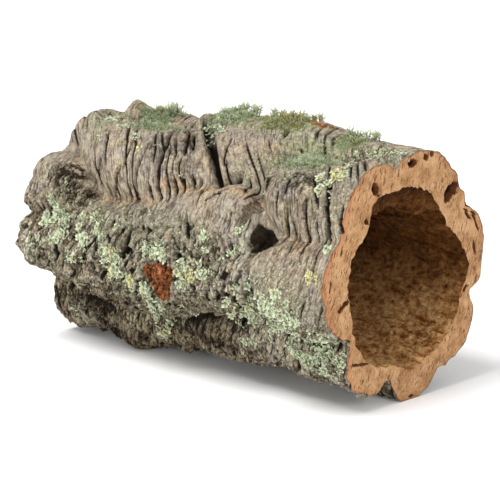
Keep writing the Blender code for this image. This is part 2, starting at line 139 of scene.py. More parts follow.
# Each roll: (lean, stations of (x, theta of its crest, crest radius, roll radius)).
ROLLS = {
    "crown_far": (0.6, (
        (-140, 99, 72, 21), (-130, 104, 76, 28), (-119, 109, 79, 32), (-100, 114, 80.5, 33),
        (-75, 119, 81, 34),
        (-45, 121, 80, 34), (-20, 116, 79, 31), (-8, 112, 76, 28), (2, 110, 78, 28),
        (20, 100, 79, 27), (40, 98, 78, 27), (58, 98, 76, 24), (72, 98, 70, 18), (84, 98, 55, 6))),
    "crown_near": (0.8, (
        (50, 128, 50, 4), (58, 129, 64, 13), (68, 130, 74, 22), (80, 132, 78, 28),
        (96, 130, 79, 31), (116, 126, 79, 30), (131, 121, 80, 27), (141, 117, 80, 26))),
    "top": (0.2, (
        (-140, 70, 72, 26), (-126, 72, 74.5, 27), (-116, 74, 79, 27), (-104, 74, 77, 27),
        (-80, 74, 77.5, 27), (-62, 74, 75, 27), (-50, 74, 78, 27), (-38, 75, 83, 27),
        (0, 75, 83.5, 28), (20, 75, 86.5, 29), (58, 75, 87, 30), (72, 75, 84.5, 30),
        (86, 75, 81.5, 29), (116, 74, 81.5, 31), (141, 72, 81, 34))),
    "shoulder": (0.0, (
        (-140, 36, 71, 24), (-64, 38, 76, 25), (6, 36, 78, 25), (76, 42, 79, 24), (141, 48, 77, 19))),
    "back": (0.0, (
        (-140, 2, 75, 27), (-74, 5, 78, 28), (16, 8, 77, 28), (141, 11, 79.5, 31))),
    "heel": (0.0, (
        (-140, 325, 76, 27), (-64, 321, 79, 27), (16, 322, 77, 26), (141, 318, 81.5, 30))),
    "foot": (0.0, (
        (-140, 284, 82, 26), (-84, 282, 81, 25), (-44, 281, 79, 24), (-4, 280, 78, 24),
        (26, 280, 79.5, 24), (58, 279, 78, 23), (80, 279, 82, 23), (121, 279, 82.5, 21),
        (141, 278, 81, 20))),
    "toe": (0.0, (
        (-140, 245, 78.5, 23), (-106, 246, 80, 24), (-94, 246, 78, 24), (-80, 247, 81.5, 24),
        (-64, 247, 85, 24), (-54, 247, 81, 24), (-42, 247, 78.5, 24), (-20, 246, 77.5, 24),
        (-8, 244, 73, 24), (4, 242, 73, 24), (16, 240, 75.5, 25),
        (48, 238, 75.5, 26), (62, 237, 72.5, 25), (91, 236, 74, 26), (116, 236, 75, 26),
        (141, 238, 77, 24))),
    "hip": (-0.4, (
        (-140, 188, 77, 19), (-114, 189, 78, 23), (-89, 191, 79, 26), (-62, 195, 78, 31),
        (-42, 199, 78, 34), (-14, 197, 77, 33), (13, 190, 76, 30), (41, 188, 75, 28),
        (58, 188, 74, 26), (70, 186, 66, 16), (80, 186, 50, 4))),
    "brow": (0.5, (
        (-140, 152, 73, 25), (-118, 151, 76.5, 24), (-104, 151, 76, 23), (-93, 153, 72, 19),
        (-84, 156, 66, 12), (-74, 159, 56, 6))),
    "band": (0.3, (
        (-116, 170, 50, 4), (-102, 171, 66, 14), (-84, 173, 72, 20), (-59, 176, 73, 22),
        (-29, 172, 73, 26), (1, 166, 74, 30), (26, 157, 75, 32), (46, 153, 75, 31),
        (58, 152, 73, 24), (66, 150, 66, 12), (74, 150, 50, 4))),
    "cheek": (0.2, (
        (68, 180, 50, 5), (76, 180, 69, 18), (86, 180, 76, 29), (101, 181, 78, 33),
        (121, 179, 77, 34), (141, 175, 74.5, 33))),
}

# How far the cross fissures are carried along x as they go round, (theta, mm).
GRAIN = ((0, -2), (60, 2), (88, 0), (125, -42), (150, -54), (165, -54), (195, -44), (225, -30),
         (270, -16), (360, -2))

# Single marks: (x, theta, half width along, half width round, depth, lean).
MARKS = (
    (66.2, 157, 2.0, 17, -3, 0.04),     # rim of the knot hollow
    (-112, 84, 6, 9, -6.5, 0.0),        # knob on the crest
    (-38, 91, 5, 9, -5, 0.0),           # lip beside the great fissure
    (3.5, 115, 2.8, 27, 7, 0.97),       # the great fissure
    (15, 176, 3.2, 3.2, 6, 0.0),        # beetle hole
    (28, 216, 15, 5.5, 6, 0.0),         # recess under the hip
    (-96, 222, 16, 3.0, 5, -1.8),       # slot under the hip
    (-34, 178, 2.4, 13, 5, -0.35),      # split in the band
    (29, 128, 5, 3.6, 6, -0.4),         # hole at the foot of the crown
    (66, 190, 4.5, 38, -3.5, -0.1),     # collar round the knot
    (78, 200, 3.5, 25, 2.5, -0.3),      # valley beside the collar
    (-138, 166, 17, 8, -4, 0.0),        # fullness between brow and hip
    (141, 44, 14, 6, 4.5, 0.0),         # nick between top and shoulder
    (141, 5, 14, 9, 2.5, 0.0),          # flat on the back
    (141, 350, 14, 5, -3, 0.0),         # fold under the back
    (141, 341, 14, 3.5, 3.5, 0.0),      # crease over the heel
    (141, 294, 14, 5, -5, 0.0),         # fold between heel and foot
)

# Hollows with a clear edge: (depth, width of its slope, corners (x, theta) round it).
HOLLOWS = (
    (12, 3.0, ((66.6, 149), (78, 151), (97, 157.5), (94, 161), (85, 165), (68, 167.5))),      # knot
    (3.0, 2.0, ((55.8, 136), (58, 134), (64.6, 141), (65, 146), (64.6, 151), (63, 155),
                (60, 152.5), (57, 145))),                                           # bare, over it
    (2.6, 1.5, ((-17, 184), (4, 180), (15, 183), (4, 201), (-5, 201), (-15, 192))), # plate lost
)

# Crumbly places up on the rolls: (x, theta, half width along, half width round).
ROUGHS = ((-98, 108, 26, 12), (-62, 111, 18, 7), (-22, 88, 16, 9), (66, 112, 22, 10), (114, 98, 26, 14),
          (-112, 152, 14, 14), (-70, 24, 46, 14), (64, 354, 50, 16), (10, 326, 60, 14),
          (96, 36, 30, 12), (-100, 340, 36, 14), (-10, 52, 24, 8))

# Fissures that show singly: (half width, depth, points (x, theta) along it).
FISSURES = (
    (3.4, 10, ((-35, 91), (-22, 97), (0, 112), (11, 120), (17, 126), (22, 132))),
    (1.4, 5, ((-26, 107), (-14, 119), (-9, 125))),
    (1.3, 5, ((-22, 107), (-7, 120))),
    (1.8, 6, ((-35, 111), (-28, 124), (-25, 134), (-22, 143), (-18, 149))),
    (1.6, 6, ((-42, 124), (-42, 140), (-41, 152))),
    (1.3, 5, ((-59, 137), (-62, 146), (-67, 152))),
    (1.3, 5, ((-78, 132), (-83, 138), (-83, 146))),
    (2.8, 8, ((-30, 93), (-18, 101), (-6, 111))),
    (0.9, 3, ((13, 107), (18, 116), (23, 123))),
    (1.3, 5, ((-17, 135), (-12, 144))),
    (1.2, 5, ((-10, 136), (-6, 144))),
    (1.3, 5, ((-4, 134), (-1, 143))),
    (1.2, 5, ((2, 132), (5, 140))),
    (1.1, 5, ((8, 132), (10, 139))),
    (0.8, 4, ((-30, 142), (-26, 149))),
    (0.8, 4, ((-48, 144), (-46, 152))),
    (0.8, 3, ((-55, 128), (-57, 137))),
    (0.8, 4, ((-72, 141), (-73, 150))),
    (0.8, 4, ((57, 127), (60, 133))),
    (0.8, 4, ((104, 147), (107, 156))),
    (0.8, 4, ((123, 145), (126, 154))),
    (1.0, 4, ((23, 121), (28, 130), (33, 136))),
    (0.9, 3, ((41, 122), (45, 131), (49, 136))),
    (1.8, 6, ((119, 123), (127, 137), (131, 145), (134, 153))),
    (1.1, 4, ((137, 134), (140, 147))),
    (1.2, 4, ((98, 142), (100, 150), (99, 158))),
    (1.0, 4, ((110, 136), (115, 148), (119, 155))),
    (0.9, 3, ((109, 126), (117, 136))),
    (1.5, 5, ((-32, 165), (-36, 177), (-40, 188))),
    (1.6, 4, ((17, 155), (24, 167))),
    (2.9, 9, ((24, 132), (29, 128), (35, 123))),
    (1.3, 4, ((19, 142), (24, 137), (28, 132))),
    (1.1, 3, ((28, 145), (33, 140), (38, 136))),
    (1.9, 7, ((-111, 226.5), (-92, 227.5), (-74, 228.6))),
    (3.2, 6, ((-6, 226), (14, 220), (31, 216))),
    (2.4, 5, ((64, 190), (56, 205), (48, 219))),
    (2.0, 5, ((11, 175.5), (14, 178))),
    (1.6, 4, ((-27, 198), (-24, 201))),
    (1.6, 4, ((-43, 214), (-40, 217))),
    (1.9, 5, ((38, 89), (42, 92))),
    (1.1, 4, ((70, 169), (76, 166), (84, 162))),
    (1.1, 4, ((-86, 158), (-84, 152))),
)

# The bore, (theta, radius at the sawn end that shows).
BORE = ((0, 62), (17, 55), (35, 48), (55, 52), (68, 56), (80, 56.5), (91, 57.5), (101, 57),
        (112, 59), (121, 58), (127, 53.5), (131, 50.5), (138, 48), (150, 50), (158, 52.5),
        (167, 51), (175, 51.5), (183, 51), (197, 50), (219, 55), (236, 57), (246, 57),
        (253, 55.5), (261, 54), (270, 57.5), (276, 60), (285, 60.5), (293, 59), (303, 60.5),
        (317, 61), (330, 60.5), (343, 58), (350, 61), (357, 63), (360, 62))
LEDGE_STEP = 12.5
BORE_AT = 55
THINNEST_WALL = 4.0
SHARP_FROM = math.radians(40)

# Holes, pits and cracks in the sawn end: (half width, depth, points (theta, radius) along it).
END_CUTS = (
    (2.5, 10, ((114.6, 69.5), (114.6, 62.5))),
    (0.8, 4, ((114.4, 62), (113.8, 58.5))),
    (3.6, 13, ((46.5, 71.5), (48.2, 65), (48.4, 58))),
    (2.4, 4, ((82.5, 71.6), (87.5, 71.6))),
    (1.9, 5, ((74.5, 76), (76.5, 75.5))),
    (1.1, 3, ((71, 79), (73, 77))),
    (1.2, 5, ((184.5, 46.5), (187.5, 54.5), (190.7, 61))),
    (1.2, 5, ((130, 52), (130.5, 56))),
    (0.7, 2, ((223, 67), (230, 61.5), (237, 57))),
    (2.3, 5, ((343.5, 62), (344.5, 62.5))),
    (0.6, 3, ((277, 78), (278.5, 72))),
    (0.8, 3, ((207, 71), (209, 66.5))),
    (1.0, 3, ((34, 70), (28, 67.5), (24, 69))),
    (0.9, 3, ((28, 74), (22, 73), (15, 74.5))),
    (0.9, 3, ((12, 68), (4, 69.5))),
    (0.5, 2, ((352, 72), (344, 71))),
    (0.5, 2, ((152, 63), (158, 61.5))),
    (0.6, 2, ((172, 66), (179, 68))),
)


def lattice_hash(i, j, k, seed):
    """A repeatable scramble of three whole numbers."""
    h = (i*374761393 + j*668265263 + k*2147483647 + seed*1274126177) & 0xFFFFFFFF
    h = ((h ^ (h >> 13))*1274126177) & 0xFFFFFFFF
    h = ((h ^ (h >> 16))*1540483477) & 0xFFFFFFFF
    return h ^ (h >> 15)


def lattice(x, y, z):
    """Points one unit to a cell, as whole arrays, and the cell that each lies in."""
    axes = [np.asarray(a, float) for a in np.broadcast_arrays(x, y, z)]
    return axes, [np.floor(a).astype(np.int64) for a in axes]


def noise(x, y, z, seed):
    """Smooth gradient noise between about -1 and 1."""
    axes, cell = lattice(x, y, z)
    part = [a - c for a, c in zip(axes, cell)]
    ease = [p*p*p*(p*(p*6 - 15) + 10) for p in part]
    total = np.zeros(axes[0].shape)
    for corner in np.ndindex(2, 2, 2):
        h = lattice_hash(cell[0] + corner[0], cell[1] + corner[1], cell[2] + corner[2], seed)
        slope = sum((((h >> shift) & 1023)/511.5 - 1)*(p - o)
                    for shift, p, o in zip((0, 10, 20), part, corner))
        weight = np.ones(axes[0].shape)
        for e, o in zip(ease, corner):
            weight = weight*(e if o else 1 - e)
        total = total + weight*slope
    return total*1.4


def chips(x, y, z, seed):
    """Cells about a unit across: how far a point lies from its cell's edge, and the cell's own value."""
    axes, cell = lattice(x, y, z)
    nearest = np.full(axes[0].shape, 9.0)
    second = nearest.copy()
    own = np.zeros(axes[0].shape)
    for step in np.ndindex(3, 3, 3):
        here = [c + s - 1 for c, s in zip(cell, step)]
        h = lattice_hash(*here, seed)
        away = sum((c + ((h >> shift) & 1023)/1023 - a)**2
                   for shift, c, a in zip((0, 10, 20), here, axes))
        closer = away < nearest
        second = np.where(closer, nearest, np.minimum(second, away))
        own = np.where(closer, ((h >> 6) & 1023)/1023, own)
        nearest = np.minimum(nearest, away)
    return np.sqrt(second) - np.sqrt(nearest), own


def smoothstep(low, high, value):
    t = np.clip((value - low)/(high - low), 0, 1)
    return t*t*(3 - 2*t)


def turn(angle):
    """An angle in degrees brought between -180 and 180."""
    return (angle + 180) % 360 - 180


def round_from(theta0, theta):
    """How many millimetres round the tube it is from theta0 to theta."""
    return np.radians(turn(theta - theta0))*ROUND_AT


def blotches(x, theta, places):
    """A mask of soft round places, each (x, theta, half width along, half width round)."""
    found = np.zeros(x.shape)
    for x0, theta0, along, around in places:
        v = round_from(theta0, theta)/around
        found = np.maximum(found, np.exp(-(((x - x0)/along)**2 + v**2)**2))
    return found


def roll_radius(x, theta, lean, stations):
    """The radius of one roll, a circle that bulges from the tube, seen from the axis."""
    rows = np.array(stations, float)
    middle = np.interp(x, rows[:, 0], rows[:, 1])
    at = x - lean*np.clip(turn(theta - middle), -60, 60)
    crest_theta, crest, radius = (np.interp(at, rows[:, 0], rows[:, c]) for c in (1, 2, 3))
    off = np.radians(turn(theta - crest_theta))
    centre = np.maximum(crest - radius, 0)
    inside = radius**2 - (centre*np.sin(off))**2
    on_circle = centre*np.cos(off) + np.sqrt(np.maximum(inside, 0))
    beside = centre*np.cos(off) - 3*np.sqrt(np.maximum(-inside, 0))
    return np.where((inside > 0) & (np.cos(off) > 0), on_circle, beside)


def smooth_max(values, softness):
    stack = np.stack(values)
    top = stack.max(0)
    return top + softness*np.log(np.exp((stack - top)/softness).sum(0))


def mark(x, theta, x0, theta0, along, around, depth, lean):
    """One dent, or a bump where the depth is negative."""
    v = round_from(theta0, theta)
    u = x - x0 - lean*v
    return -depth*np.exp(-((u/along)**2 + (v/around)**2))


def inside_outline(x, theta, corners):
    """How far a point lies inside a convex outline of (x, theta) corners; negative outside it."""
    start = corners[0][1]
    v = round_from(start, theta)
    places = [(px, round_from(start, pt)) for px, pt in corners]
    least = np.full(np.shape(x), np.inf)
    for (x0, v0), (x1, v1) in zip(places, places[1:] + places[:1]):
        side = ((x1 - x0)*(v - v0) - (v1 - v0)*(x - x0))/np.hypot(x1 - x0, v1 - v0)
        least = np.minimum(least, side)
    return least


def trench(u, v, half_width, places):
    """How deep a point lies in a line of cuts, 0 to 1; the line narrows towards its two ends."""
    found = np.zeros(u.shape)
    count = len(places) - 1
    for index, ((u0, v0), (u1, v1)) in enumerate(zip(places, places[1:])):
        length = (u1 - u0)**2 + (v1 - v0)**2
        t = np.clip(((u - u0)*(u1 - u0) + (v - v0)*(v1 - v0))/length, 0, 1)
        away = np.hypot(u - u0 - t*(u1 - u0), v - v0 - t*(v1 - v0))
        run = (index + t)/count
        width = half_width*np.clip(0.35 + 4*run*(1 - run), 0, 1)
        found = np.maximum(found, np.clip(1.25 - away/width, 0, 1))
    return found


def bark_form(x, theta):
    """The bark's main form, and the fields that its finish uses, as a dict of arrays."""
    around = theta % 360
    angle = np.radians(theta)
    cy, cz = np.cos(angle)*ROUND_AT, np.sin(angle)*ROUND_AT
    rolls = [roll_radius(x, theta, lean, stations) for lean, stations in ROLLS.values()]
    r = smooth_max([np.full(x.shape, CORE_RADIUS)] + rolls, 1.0)
    r = r + 1.6*noise(x/34, cy/30, cz/30, 3) + 1.2*noise(x/15, cy/15, cz/15, 4)
    shift = np.interp(around, *zip(*GRAIN))
    shift = shift + 2.8*noise(x/38, cy/30, cz/30, 11) + 0.7*noise(x/13, cy/11, cz/11, 12)
    rough = smoothstep(138, 172, around)*(1 - smoothstep(300, 330, around))
    rough = rough*(1 - 0.6*smoothstep(66, 76, x)*(1 - smoothstep(188, 204, around)))
    rough = np.maximum(rough, 0.7*blotches(x, theta, ROUGHS))
    for values in MARKS:
        r = r + mark(x, theta, *values)
    ragged = 1.2*noise(x/5, cy/5, cz/5, 91) + 0.6*noise(x/2, cy/2, cz/2, 92)
    knot, bare, lost = (inside_outline(x, theta, corners) + ragged*(slope < 3)
                        for depth, slope, corners in HOLLOWS)
    for (depth, slope, corners), inside in zip(HOLLOWS, (knot, bare, lost)):
        r = r - depth*smoothstep(0, slope, inside)
    r = r + 7*smoothstep(0, 3, knot)*smoothstep(74, 97, x)
    return {"r": r, "along": x + shift, "shift": shift, "rough": rough, "cy": cy, "cz": cz,
            "knot": knot, "bare": bare, "lost": lost}


def ring_cracks(form, x, spacing, wander, broken, seed, calmed, widening, fade):
    """Cracks that run round the tube: how far the nearest one is, its number, and how open it is.

    The mesh can't show a crack narrower than the form's least width, so a narrow one is drawn at
    that width and made shallower. Rough places calm the cracks down.
    """
    cy, cz = form["cy"], form["cz"]
    phase = form["along"]/spacing + wander*noise(x/(4*spacing), cy/(4*spacing), cz/(4*spacing), seed)
    index = np.rint(phase)
    open_here = noise(index*3.7, cy/broken, cz/broken, seed + 1)
    own_width = noise(index*1.9 + 0.5, 0.5, 0.5, seed + 2)
    away = (phase - index)*spacing/form["steep"]
    opened = smoothstep(-0.12, 0.35, open_here + 0.5*own_width)*(1 - calmed*form["rough"])
    width = 0.35 + widening*opened
    shown_width = np.maximum(width, form["least"])
    crack = opened*(width/shown_width)**fade*np.clip(1.2 - np.abs(away)/shown_width, 0, 1)
    return away, index, crack


def bark_surface(x, theta):
    """The finished outside: the main form with its plates, fissures, growth lines and crumbs."""
    form = bark_form(x, theta)
    r, along, rough, cy, cz = (form[key] for key in ("r", "along", "rough", "cy", "cz"))
    column_width = np.gradient(np.radians(theta)*ROUND_AT, axis=1)
    slope = np.abs(np.gradient(form["shift"], axis=1))/column_width
    form["steep"] = np.hypot(1, slope)
    form["least"] = (0.45 + 0.72*column_width*slope)/form["steep"] + 0.08
    r = r + 0.6*noise(along/13, cy/40, cz/40, 21)
    r = r + smoothstep(124, 139, x)*(0.9*noise(cy/3.4, cz/3.4, 0.5, 93) + 0.6*noise(x/4, cy/2, cz/2, 94))

    away, index, wide_crack = ring_cracks(form, x, spacing=6.4, wander=0.35, broken=20, seed=61,
                                          calmed=0.55, widening=0.5, fade=0.5)
    tilt = noise(index*2.3, cy/24, cz/24, 64)
    r = r + 0.45*(1 - 0.6*rough)*tilt*away/3.2 - 2.2*wide_crack
    away, index, thin_crack = ring_cracks(form, x, spacing=3.1, wander=0.3, broken=9, seed=71,
                                          calmed=0.6, widening=0.3, fade=1)
    r = r + 0.2*(1 - rough)*noise(index*1.7, cy/9, cz/9, 74) - 0.7*thin_crack

    crumb = noise(along/4.6, cy/8.5, cz/8.5, 31)
    grit = noise(along/2.1, cy/3.6, cz/3.6, 32)
    pock = smoothstep(0.26, 0.5, noise(along/4.4, cy/7.0, cz/7.0, 33))
    layers = 3.4*noise(along/9, cy/12, cz/12, 35)
    plate = np.floor(layers) + smoothstep(0, 0.3, layers - np.floor(layers))
    r = r + rough*(0.6*crumb + 0.8*grit - 2.2*pock) + (1 - rough)*(0.25*crumb + 0.3*grit)
    r = r + (0.15 + 0.7*rough)*plate
    warp = 0.4*noise(along/3, cy/4, cz/4, 37)
    edge, chip = chips(along/4.6 + warp, cy/8.5 + warp, cz/8.5 - warp, 36)
    between = 1 - smoothstep(0.03, 0.15, edge)
    r = r + rough*(2.4*(chip - 0.5) - 1.6*between)

    single = np.zeros(x.shape)
    wobble_x = 1.1*noise(x/9, cy/7, cz/7, 81) + 0.5*noise(x/3, cy/3, cz/3, 82)
    wobble_v = 0.9*noise(x/7, cy/7, cz/7, 83)
    v = round_from(180, theta)
    for half_width, depth, places in FISSURES:
        line = [(px, round_from(180, pt)) for px, pt in places]
        cut = trench(x + wobble_x, v + wobble_v, half_width, line)
        r = r - depth*cut
        single = np.maximum(single, cut)
    form["r"] = r
    # crack: where the material paints shade in the cracks, fissures, pocks and gaps between crumbs
    opened = [wide_crack, 0.7*thin_crack, single, 0.8*rough*pock, 0.62*rough*between]
    form["crack"] = np.clip(np.maximum.reduce(opened), 0, 1)
    form["chip"] = 0.5 + rough*(chip - 0.5)
    return form


def bore_radius(x, theta):
    """The inside of the tube: the measured opening, a broken ledge at the top, and long swells."""
    around = theta % 360
    angle = np.radians(theta)
    cy, cz = np.cos(angle)*BORE_AT, np.sin(angle)*BORE_AT
    depth = END_X - x
    snags = noise(cy/2.6, cz/2.6, 0.5, 46)
    ledge = smoothstep(48, 62, around)*(1 - smoothstep(112, 128, around))
    r = np.interp(around, *zip(*BORE))
    r = r - (LEDGE_STEP + 3.0*snags)*smoothstep(1.5, 8, depth + 2.0*snags)*ledge
    inward = smoothstep(5, 60, depth)
    swell = 2.5 + 2.5*noise(x/70, cy/26, cz/26, 41) - 1.2*noise(x/22, cy/8, cz/8, 42)
    slanted = around*0.96 + x*0.55
    ridges = noise(x/26, slanted/5.5, 0.5, 43) + 0.5*noise(x/12, slanted/2.8, 0.5, 44)
    fibres = noise(x/4.5, cy/3.2, cz/3.2, 45)
    return r - inward*swell - smoothstep(0, 4, depth)*(1.2*ridges + 1.4*fibres) + 1.5*snags


def across_tube(theta, r):
    angle = np.radians(theta)
    return r*np.cos(angle), r*np.sin(angle)


def to_points(x, theta, r):
    y, z = across_tube(theta, r)
    return np.stack([x, AXIS_Y + y, AXIS_Z + z], -1).reshape(-1, 3)*MM


# The mesh: columns go round, closer together where plates and crumbs are finest; rows run along the
# outside, in over the sawn end, back through the bore, and out over the far end. The outside is cut
# flat where it would go under the floor, and the bore keeps the thinnest wall from the lowest place
# that the outside has a few rows either way.
theta = np.concatenate([np.linspace(-105, 35, 58, endpoint=False),
                        np.linspace(35, 75, 25, endpoint=False),
                        np.linspace(75, 255, 144, endpoint=False)])
outside_x = np.linspace(-END_X, END_X, 350)
bore_x = np.concatenate([np.linspace(END_X, END_X - 40, 30, endpoint=False),
                         np.linspace(END_X - 40, -END_X, 24)])
ROWS_APART = 7
NEAR_RINGS = 24
FAR_RINGS = 4

X, T = np.meshgrid(outside_x, theta, indexing="ij")
outside = bark_surface(X, T)
down = np.maximum(-np.sin(np.radians(T)), 0.001)
outer_r = np.minimum(outside["r"], AXIS_Z/down)
XB, TB = np.meshgrid(bore_x, theta, indexing="ij")
low_outer = outer_r
for step in range(1, ROWS_APART + 1):
    ahead = np.concatenate([outer_r[step:], outer_r[-step:]])
    behind = np.concatenate([outer_r[:step], outer_r[:-step]])
    low_outer = np.minimum.reduce([low_outer, ahead, behind])
outer_there = np.stack([np.interp(bore_x, outside_x, column) for column in low_outer.T], 1)
outer_there = np.minimum.reduce([outer_there, np.roll(outer_there, 1, 1), np.roll(outer_there, -1, 1)])
inside_r = np.minimum(bore_radius(XB, TB), outer_there - THINNEST_WALL)

near_share = ((np.arange(NEAR_RINGS) + 1)/(NEAR_RINGS + 1))[:, None]
near_r = outer_r[-1] + (inside_r[0] - outer_r[-1])*near_share
near_t = np.broadcast_to(theta, near_r.shape)
near_y, near_z = across_tube(near_t, near_r)
near_x = END_X - 0.3*np.abs(noise(near_y/2.2, near_z/2.2, 0.5, 51))
# near_gap: the cuts in the sawn end, more for deeper ones, for their brown walls and painted shade
near_gap = np.zeros(near_r.shape)
for half_width, depth, places in END_CUTS:
    line = [across_tube(angle, radius) for angle, radius in places]
    cut = trench(near_y + 0.6*noise(near_y/3, near_z/3, 0.5, 52), near_z, half_width, line)
    cut = smoothstep(0.1, 0.6, cut)
    near_x = near_x - depth*cut
    near_gap = np.maximum(near_gap, cut*min(1, depth/7))
far_share = ((np.arange(FAR_RINGS) + 1)/(FAR_RINGS + 1))[:, None]
far_r = inside_r[-1] + (outer_r[0] - inside_r[-1])*far_share
far_t = np.broadcast_to(theta, far_r.shape)

points = np.concatenate([
    to_points(X, T, outer_r),
    to_points(near_x, near_t, near_r),
    to_points(XB, TB, inside_r),
    to_points(np.full(far_r.shape, -END_X), far_t, far_r)])
columns = len(theta)
rows = len(points)//columns

# Where the bark's colour changes, as masks that its material reads, in the places of blotches().
SCARS = ((58, 83, 8, 2.6), (66, 81, 4, 2))
RUSTS = ((-60, 18, 60, 3), (60, 22, 50, 3), (20, 344, 70, 3), (-40, 55, 60, 3), (-68, 153, 20, 4),
         (-34, 150, 22, 4), (-8, 140, 14, 5), (20, 138, 10, 4), (44, 134, 24, 5), (58, 137, 12, 4),
         (113, 157, 16, 3.5), (-92, 158, 8, 4))
TANS = ((28, 120, 18, 20), (48, 110, 14, 16), (112, 158, 24, 8))
# The next two lists are painted shade: in the valleys between the rolls, on the brow's flank, under the
# hip and over the toe, beside the knot's collar and on the crowns' shaded sides; the second at less
# strength.
DEEP_SHADES = ((-104, 147, 14, 12), (-97, 155, 12, 9), (-88, 156, 8, 8), (64, 129, 10, 8), (-84, 214, 46, 6),
         (32, 213, 16, 4), (8, 229, 36, 5), (72, 190, 3, 16), (-96, 229, 22, 7), (-82, 239, 24, 8),
         (96, 128, 16, 8), (-20, 20, 90, 3), (40, 345, 80, 4), (-50, 302, 80, 4), (30, 57, 60, 2))
SHADES = ((100, 134, 34, 20), (-22, 122, 24, 16), (-6, 127, 12, 14), (104, 156, 30, 8),
          (-60, 346, 60, 6), (-90, 57, 40, 4))
STAINS = {
    "blush": ((9, 167, 8, 3.5), (-100, 163, 5, 4), (-88, 180, 5, 4), (-74, 190, 6, 4), (71, 129, 5, 4)),
    "collar": ((66.4, 146, 1.6, 8), (65.4, 157, 2.4, 11), (66.4, 169, 2.6, 9), (68.5, 181, 3, 9)),
    "green": ((-75, 104, 36, 14), (-20, 88, 26, 10), (30, 86, 44, 9), (88, 103, 24, 22),
              (-62, 166, 10, 7), (-50, 58, 40, 10), (60, 56, 50, 12), (110, 30, 20, 16), (64, 99, 18, 9),
              (62, 114, 8, 8), (-100, 110, 16, 14), (116, 92, 20, 8), (-108, 166, 16, 10)),
    "crust": ((0, 166, 44, 14), (-54, 164, 30, 10), (-97, 172, 20, 24), (-58, 178, 18, 20),
              (-20, 190, 30, 30), (30, 186, 22, 26), (-10, 214, 26, 18), (104, 196, 34, 32),
              (118, 216, 22, 22), (64, 120, 40, 16), (128, 130, 14, 22), (-118, 200, 16, 24),
              (-70, 20, 30, 18), (64, 352, 30, 20), (0, 330, 40, 14), (100, 24, 24, 16),
              (20, 40, 24, 12), (-110, 350, 24, 18)),
    "pale": ((-112, 236, 11, 12), (66, 206, 14, 10), (84, 222, 34, 10), (-84, 170, 14, 8),
             (90, 210, 14, 8), (-100, 112, 20, 10), (-50, 168, 34, 9), (4, 164, 34, 10),
             (34, 126, 12, 12)),
}

around = T % 360
masks_outside = {name: blotches(X, T, places) for name, places in STAINS.items()}
masks_outside |= {name: outside[name] for name in ("crack", "shift", "chip", "rough")}
masks_outside |= {
    "warm": np.maximum(blotches(X, T, RUSTS), 0.6*blotches(X, T, TANS)),
    "scar": np.maximum(blotches(X, T, SCARS), smoothstep(-0.2, 1.0, outside["lost"])),
    "bare": smoothstep(-0.5, 1.5, outside["bare"]),
    # dark: painted shade, from the two lists above
    "dark": np.maximum(blotches(X, T, DEEP_SHADES), 0.4*blotches(X, T, SHADES)),
    # deep: where painted shade darkens the knot's hollow
    "deep": smoothstep(0.1, 0.9, outside["knot"])*smoothstep(66.8, 67.8, X),
    # low: painted shade on the lower front, weaker towards the sawn end; it also brings more light flakes
    # and pits there
    "low": (smoothstep(188, 214, around)*(1 - smoothstep(300, 340, around))
            * (1 - 0.85*smoothstep(30, 80, X))),
    "rim": np.ones(X.shape),
    "gap": np.zeros(X.shape),
}
masks = {}
for name, values in masks_outside.items():
    near, far = {"rim": (1 - near_share, far_share), "gap": (near_gap, 0)}.get(name, (0, 0))
    masks[name] = np.concatenate([
        values, np.broadcast_to(near, near_r.shape), np.zeros(XB.shape),
        np.broadcast_to(far, far_r.shape)]).ravel()

# A flat grid with one spare row and column is laid over those points, then its seams are welded.
BARK, CUT, BORE_SKIN = range(3)
first_cut = len(outside_x) - 1
first_bore = len(outside_x) + NEAR_RINGS
last_bore = first_bore + len(bore_x) - 2
sheet = bmesh.new()
bmesh.ops.create_grid(sheet, x_segments=rows, y_segments=columns, size=1)
for face in sheet.faces:
    row = int((face.calc_center_median().x + 1)/2*rows)
    if row < first_cut:
        face.material_index = BARK
    elif first_bore <= row <= last_bore:
        face.material_index = BORE_SKIN
    else:
        face.material_index = CUT
    face.smooth = True
sheet_x = np.array([v.co.x for v in sheet.verts])
sheet_y = np.array([v.co.y for v in sheet.verts])
row_of = np.rint((sheet_x + 1)/2*rows).astype(int) % rows
column_of = np.rint((sheet_y + 1)/2*columns).astype(int) % columns
source = row_of*columns + column_of
for v, place in zip(sheet.verts, points[source].tolist()):
    v.co = place
for name, values in masks.items():
    layer = sheet.verts.layers.float.new(name)
    for v, value in zip(sheet.verts, values[source].tolist()):
        v[layer] = value
bmesh.ops.remove_doubles(sheet, verts=sheet.verts, dist=1e-7)

# Each face is split along the diagonal that lies deeper in a crack, so that slanting cracks run on
# unbroken; elsewhere along the shorter one.
crack_layer = sheet.verts.layers.float["crack"]
splits = {"FIXED": [], "ALTERNATE": [], "SHORT_EDGE": []}
for face in sheet.faces:
    a, b, c, d = (v[crack_layer] for v in face.verts)
    way = "SHORT_EDGE" if a + c == b + d else "FIXED" if a + c > b + d else "ALTERNATE"
    splits[way].append(face)
for way, faces in splits.items():
    bmesh.ops.triangulate(sheet, faces=faces, quad_method=way)
if sheet.calc_volume(signed=True) < 0:
    bmesh.ops.reverse_faces(sheet, faces=sheet.faces)
bark_mesh = bpy.data.meshes.new("cork_tube")
sheet.to_mesh(bark_mesh)
sheet.free()
bark_mesh.set_sharp_from_angle(angle=SHARP_FROM)
bark = new_object("cork_tube", bark_mesh)
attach(bark, "root")
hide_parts("cork_bark")


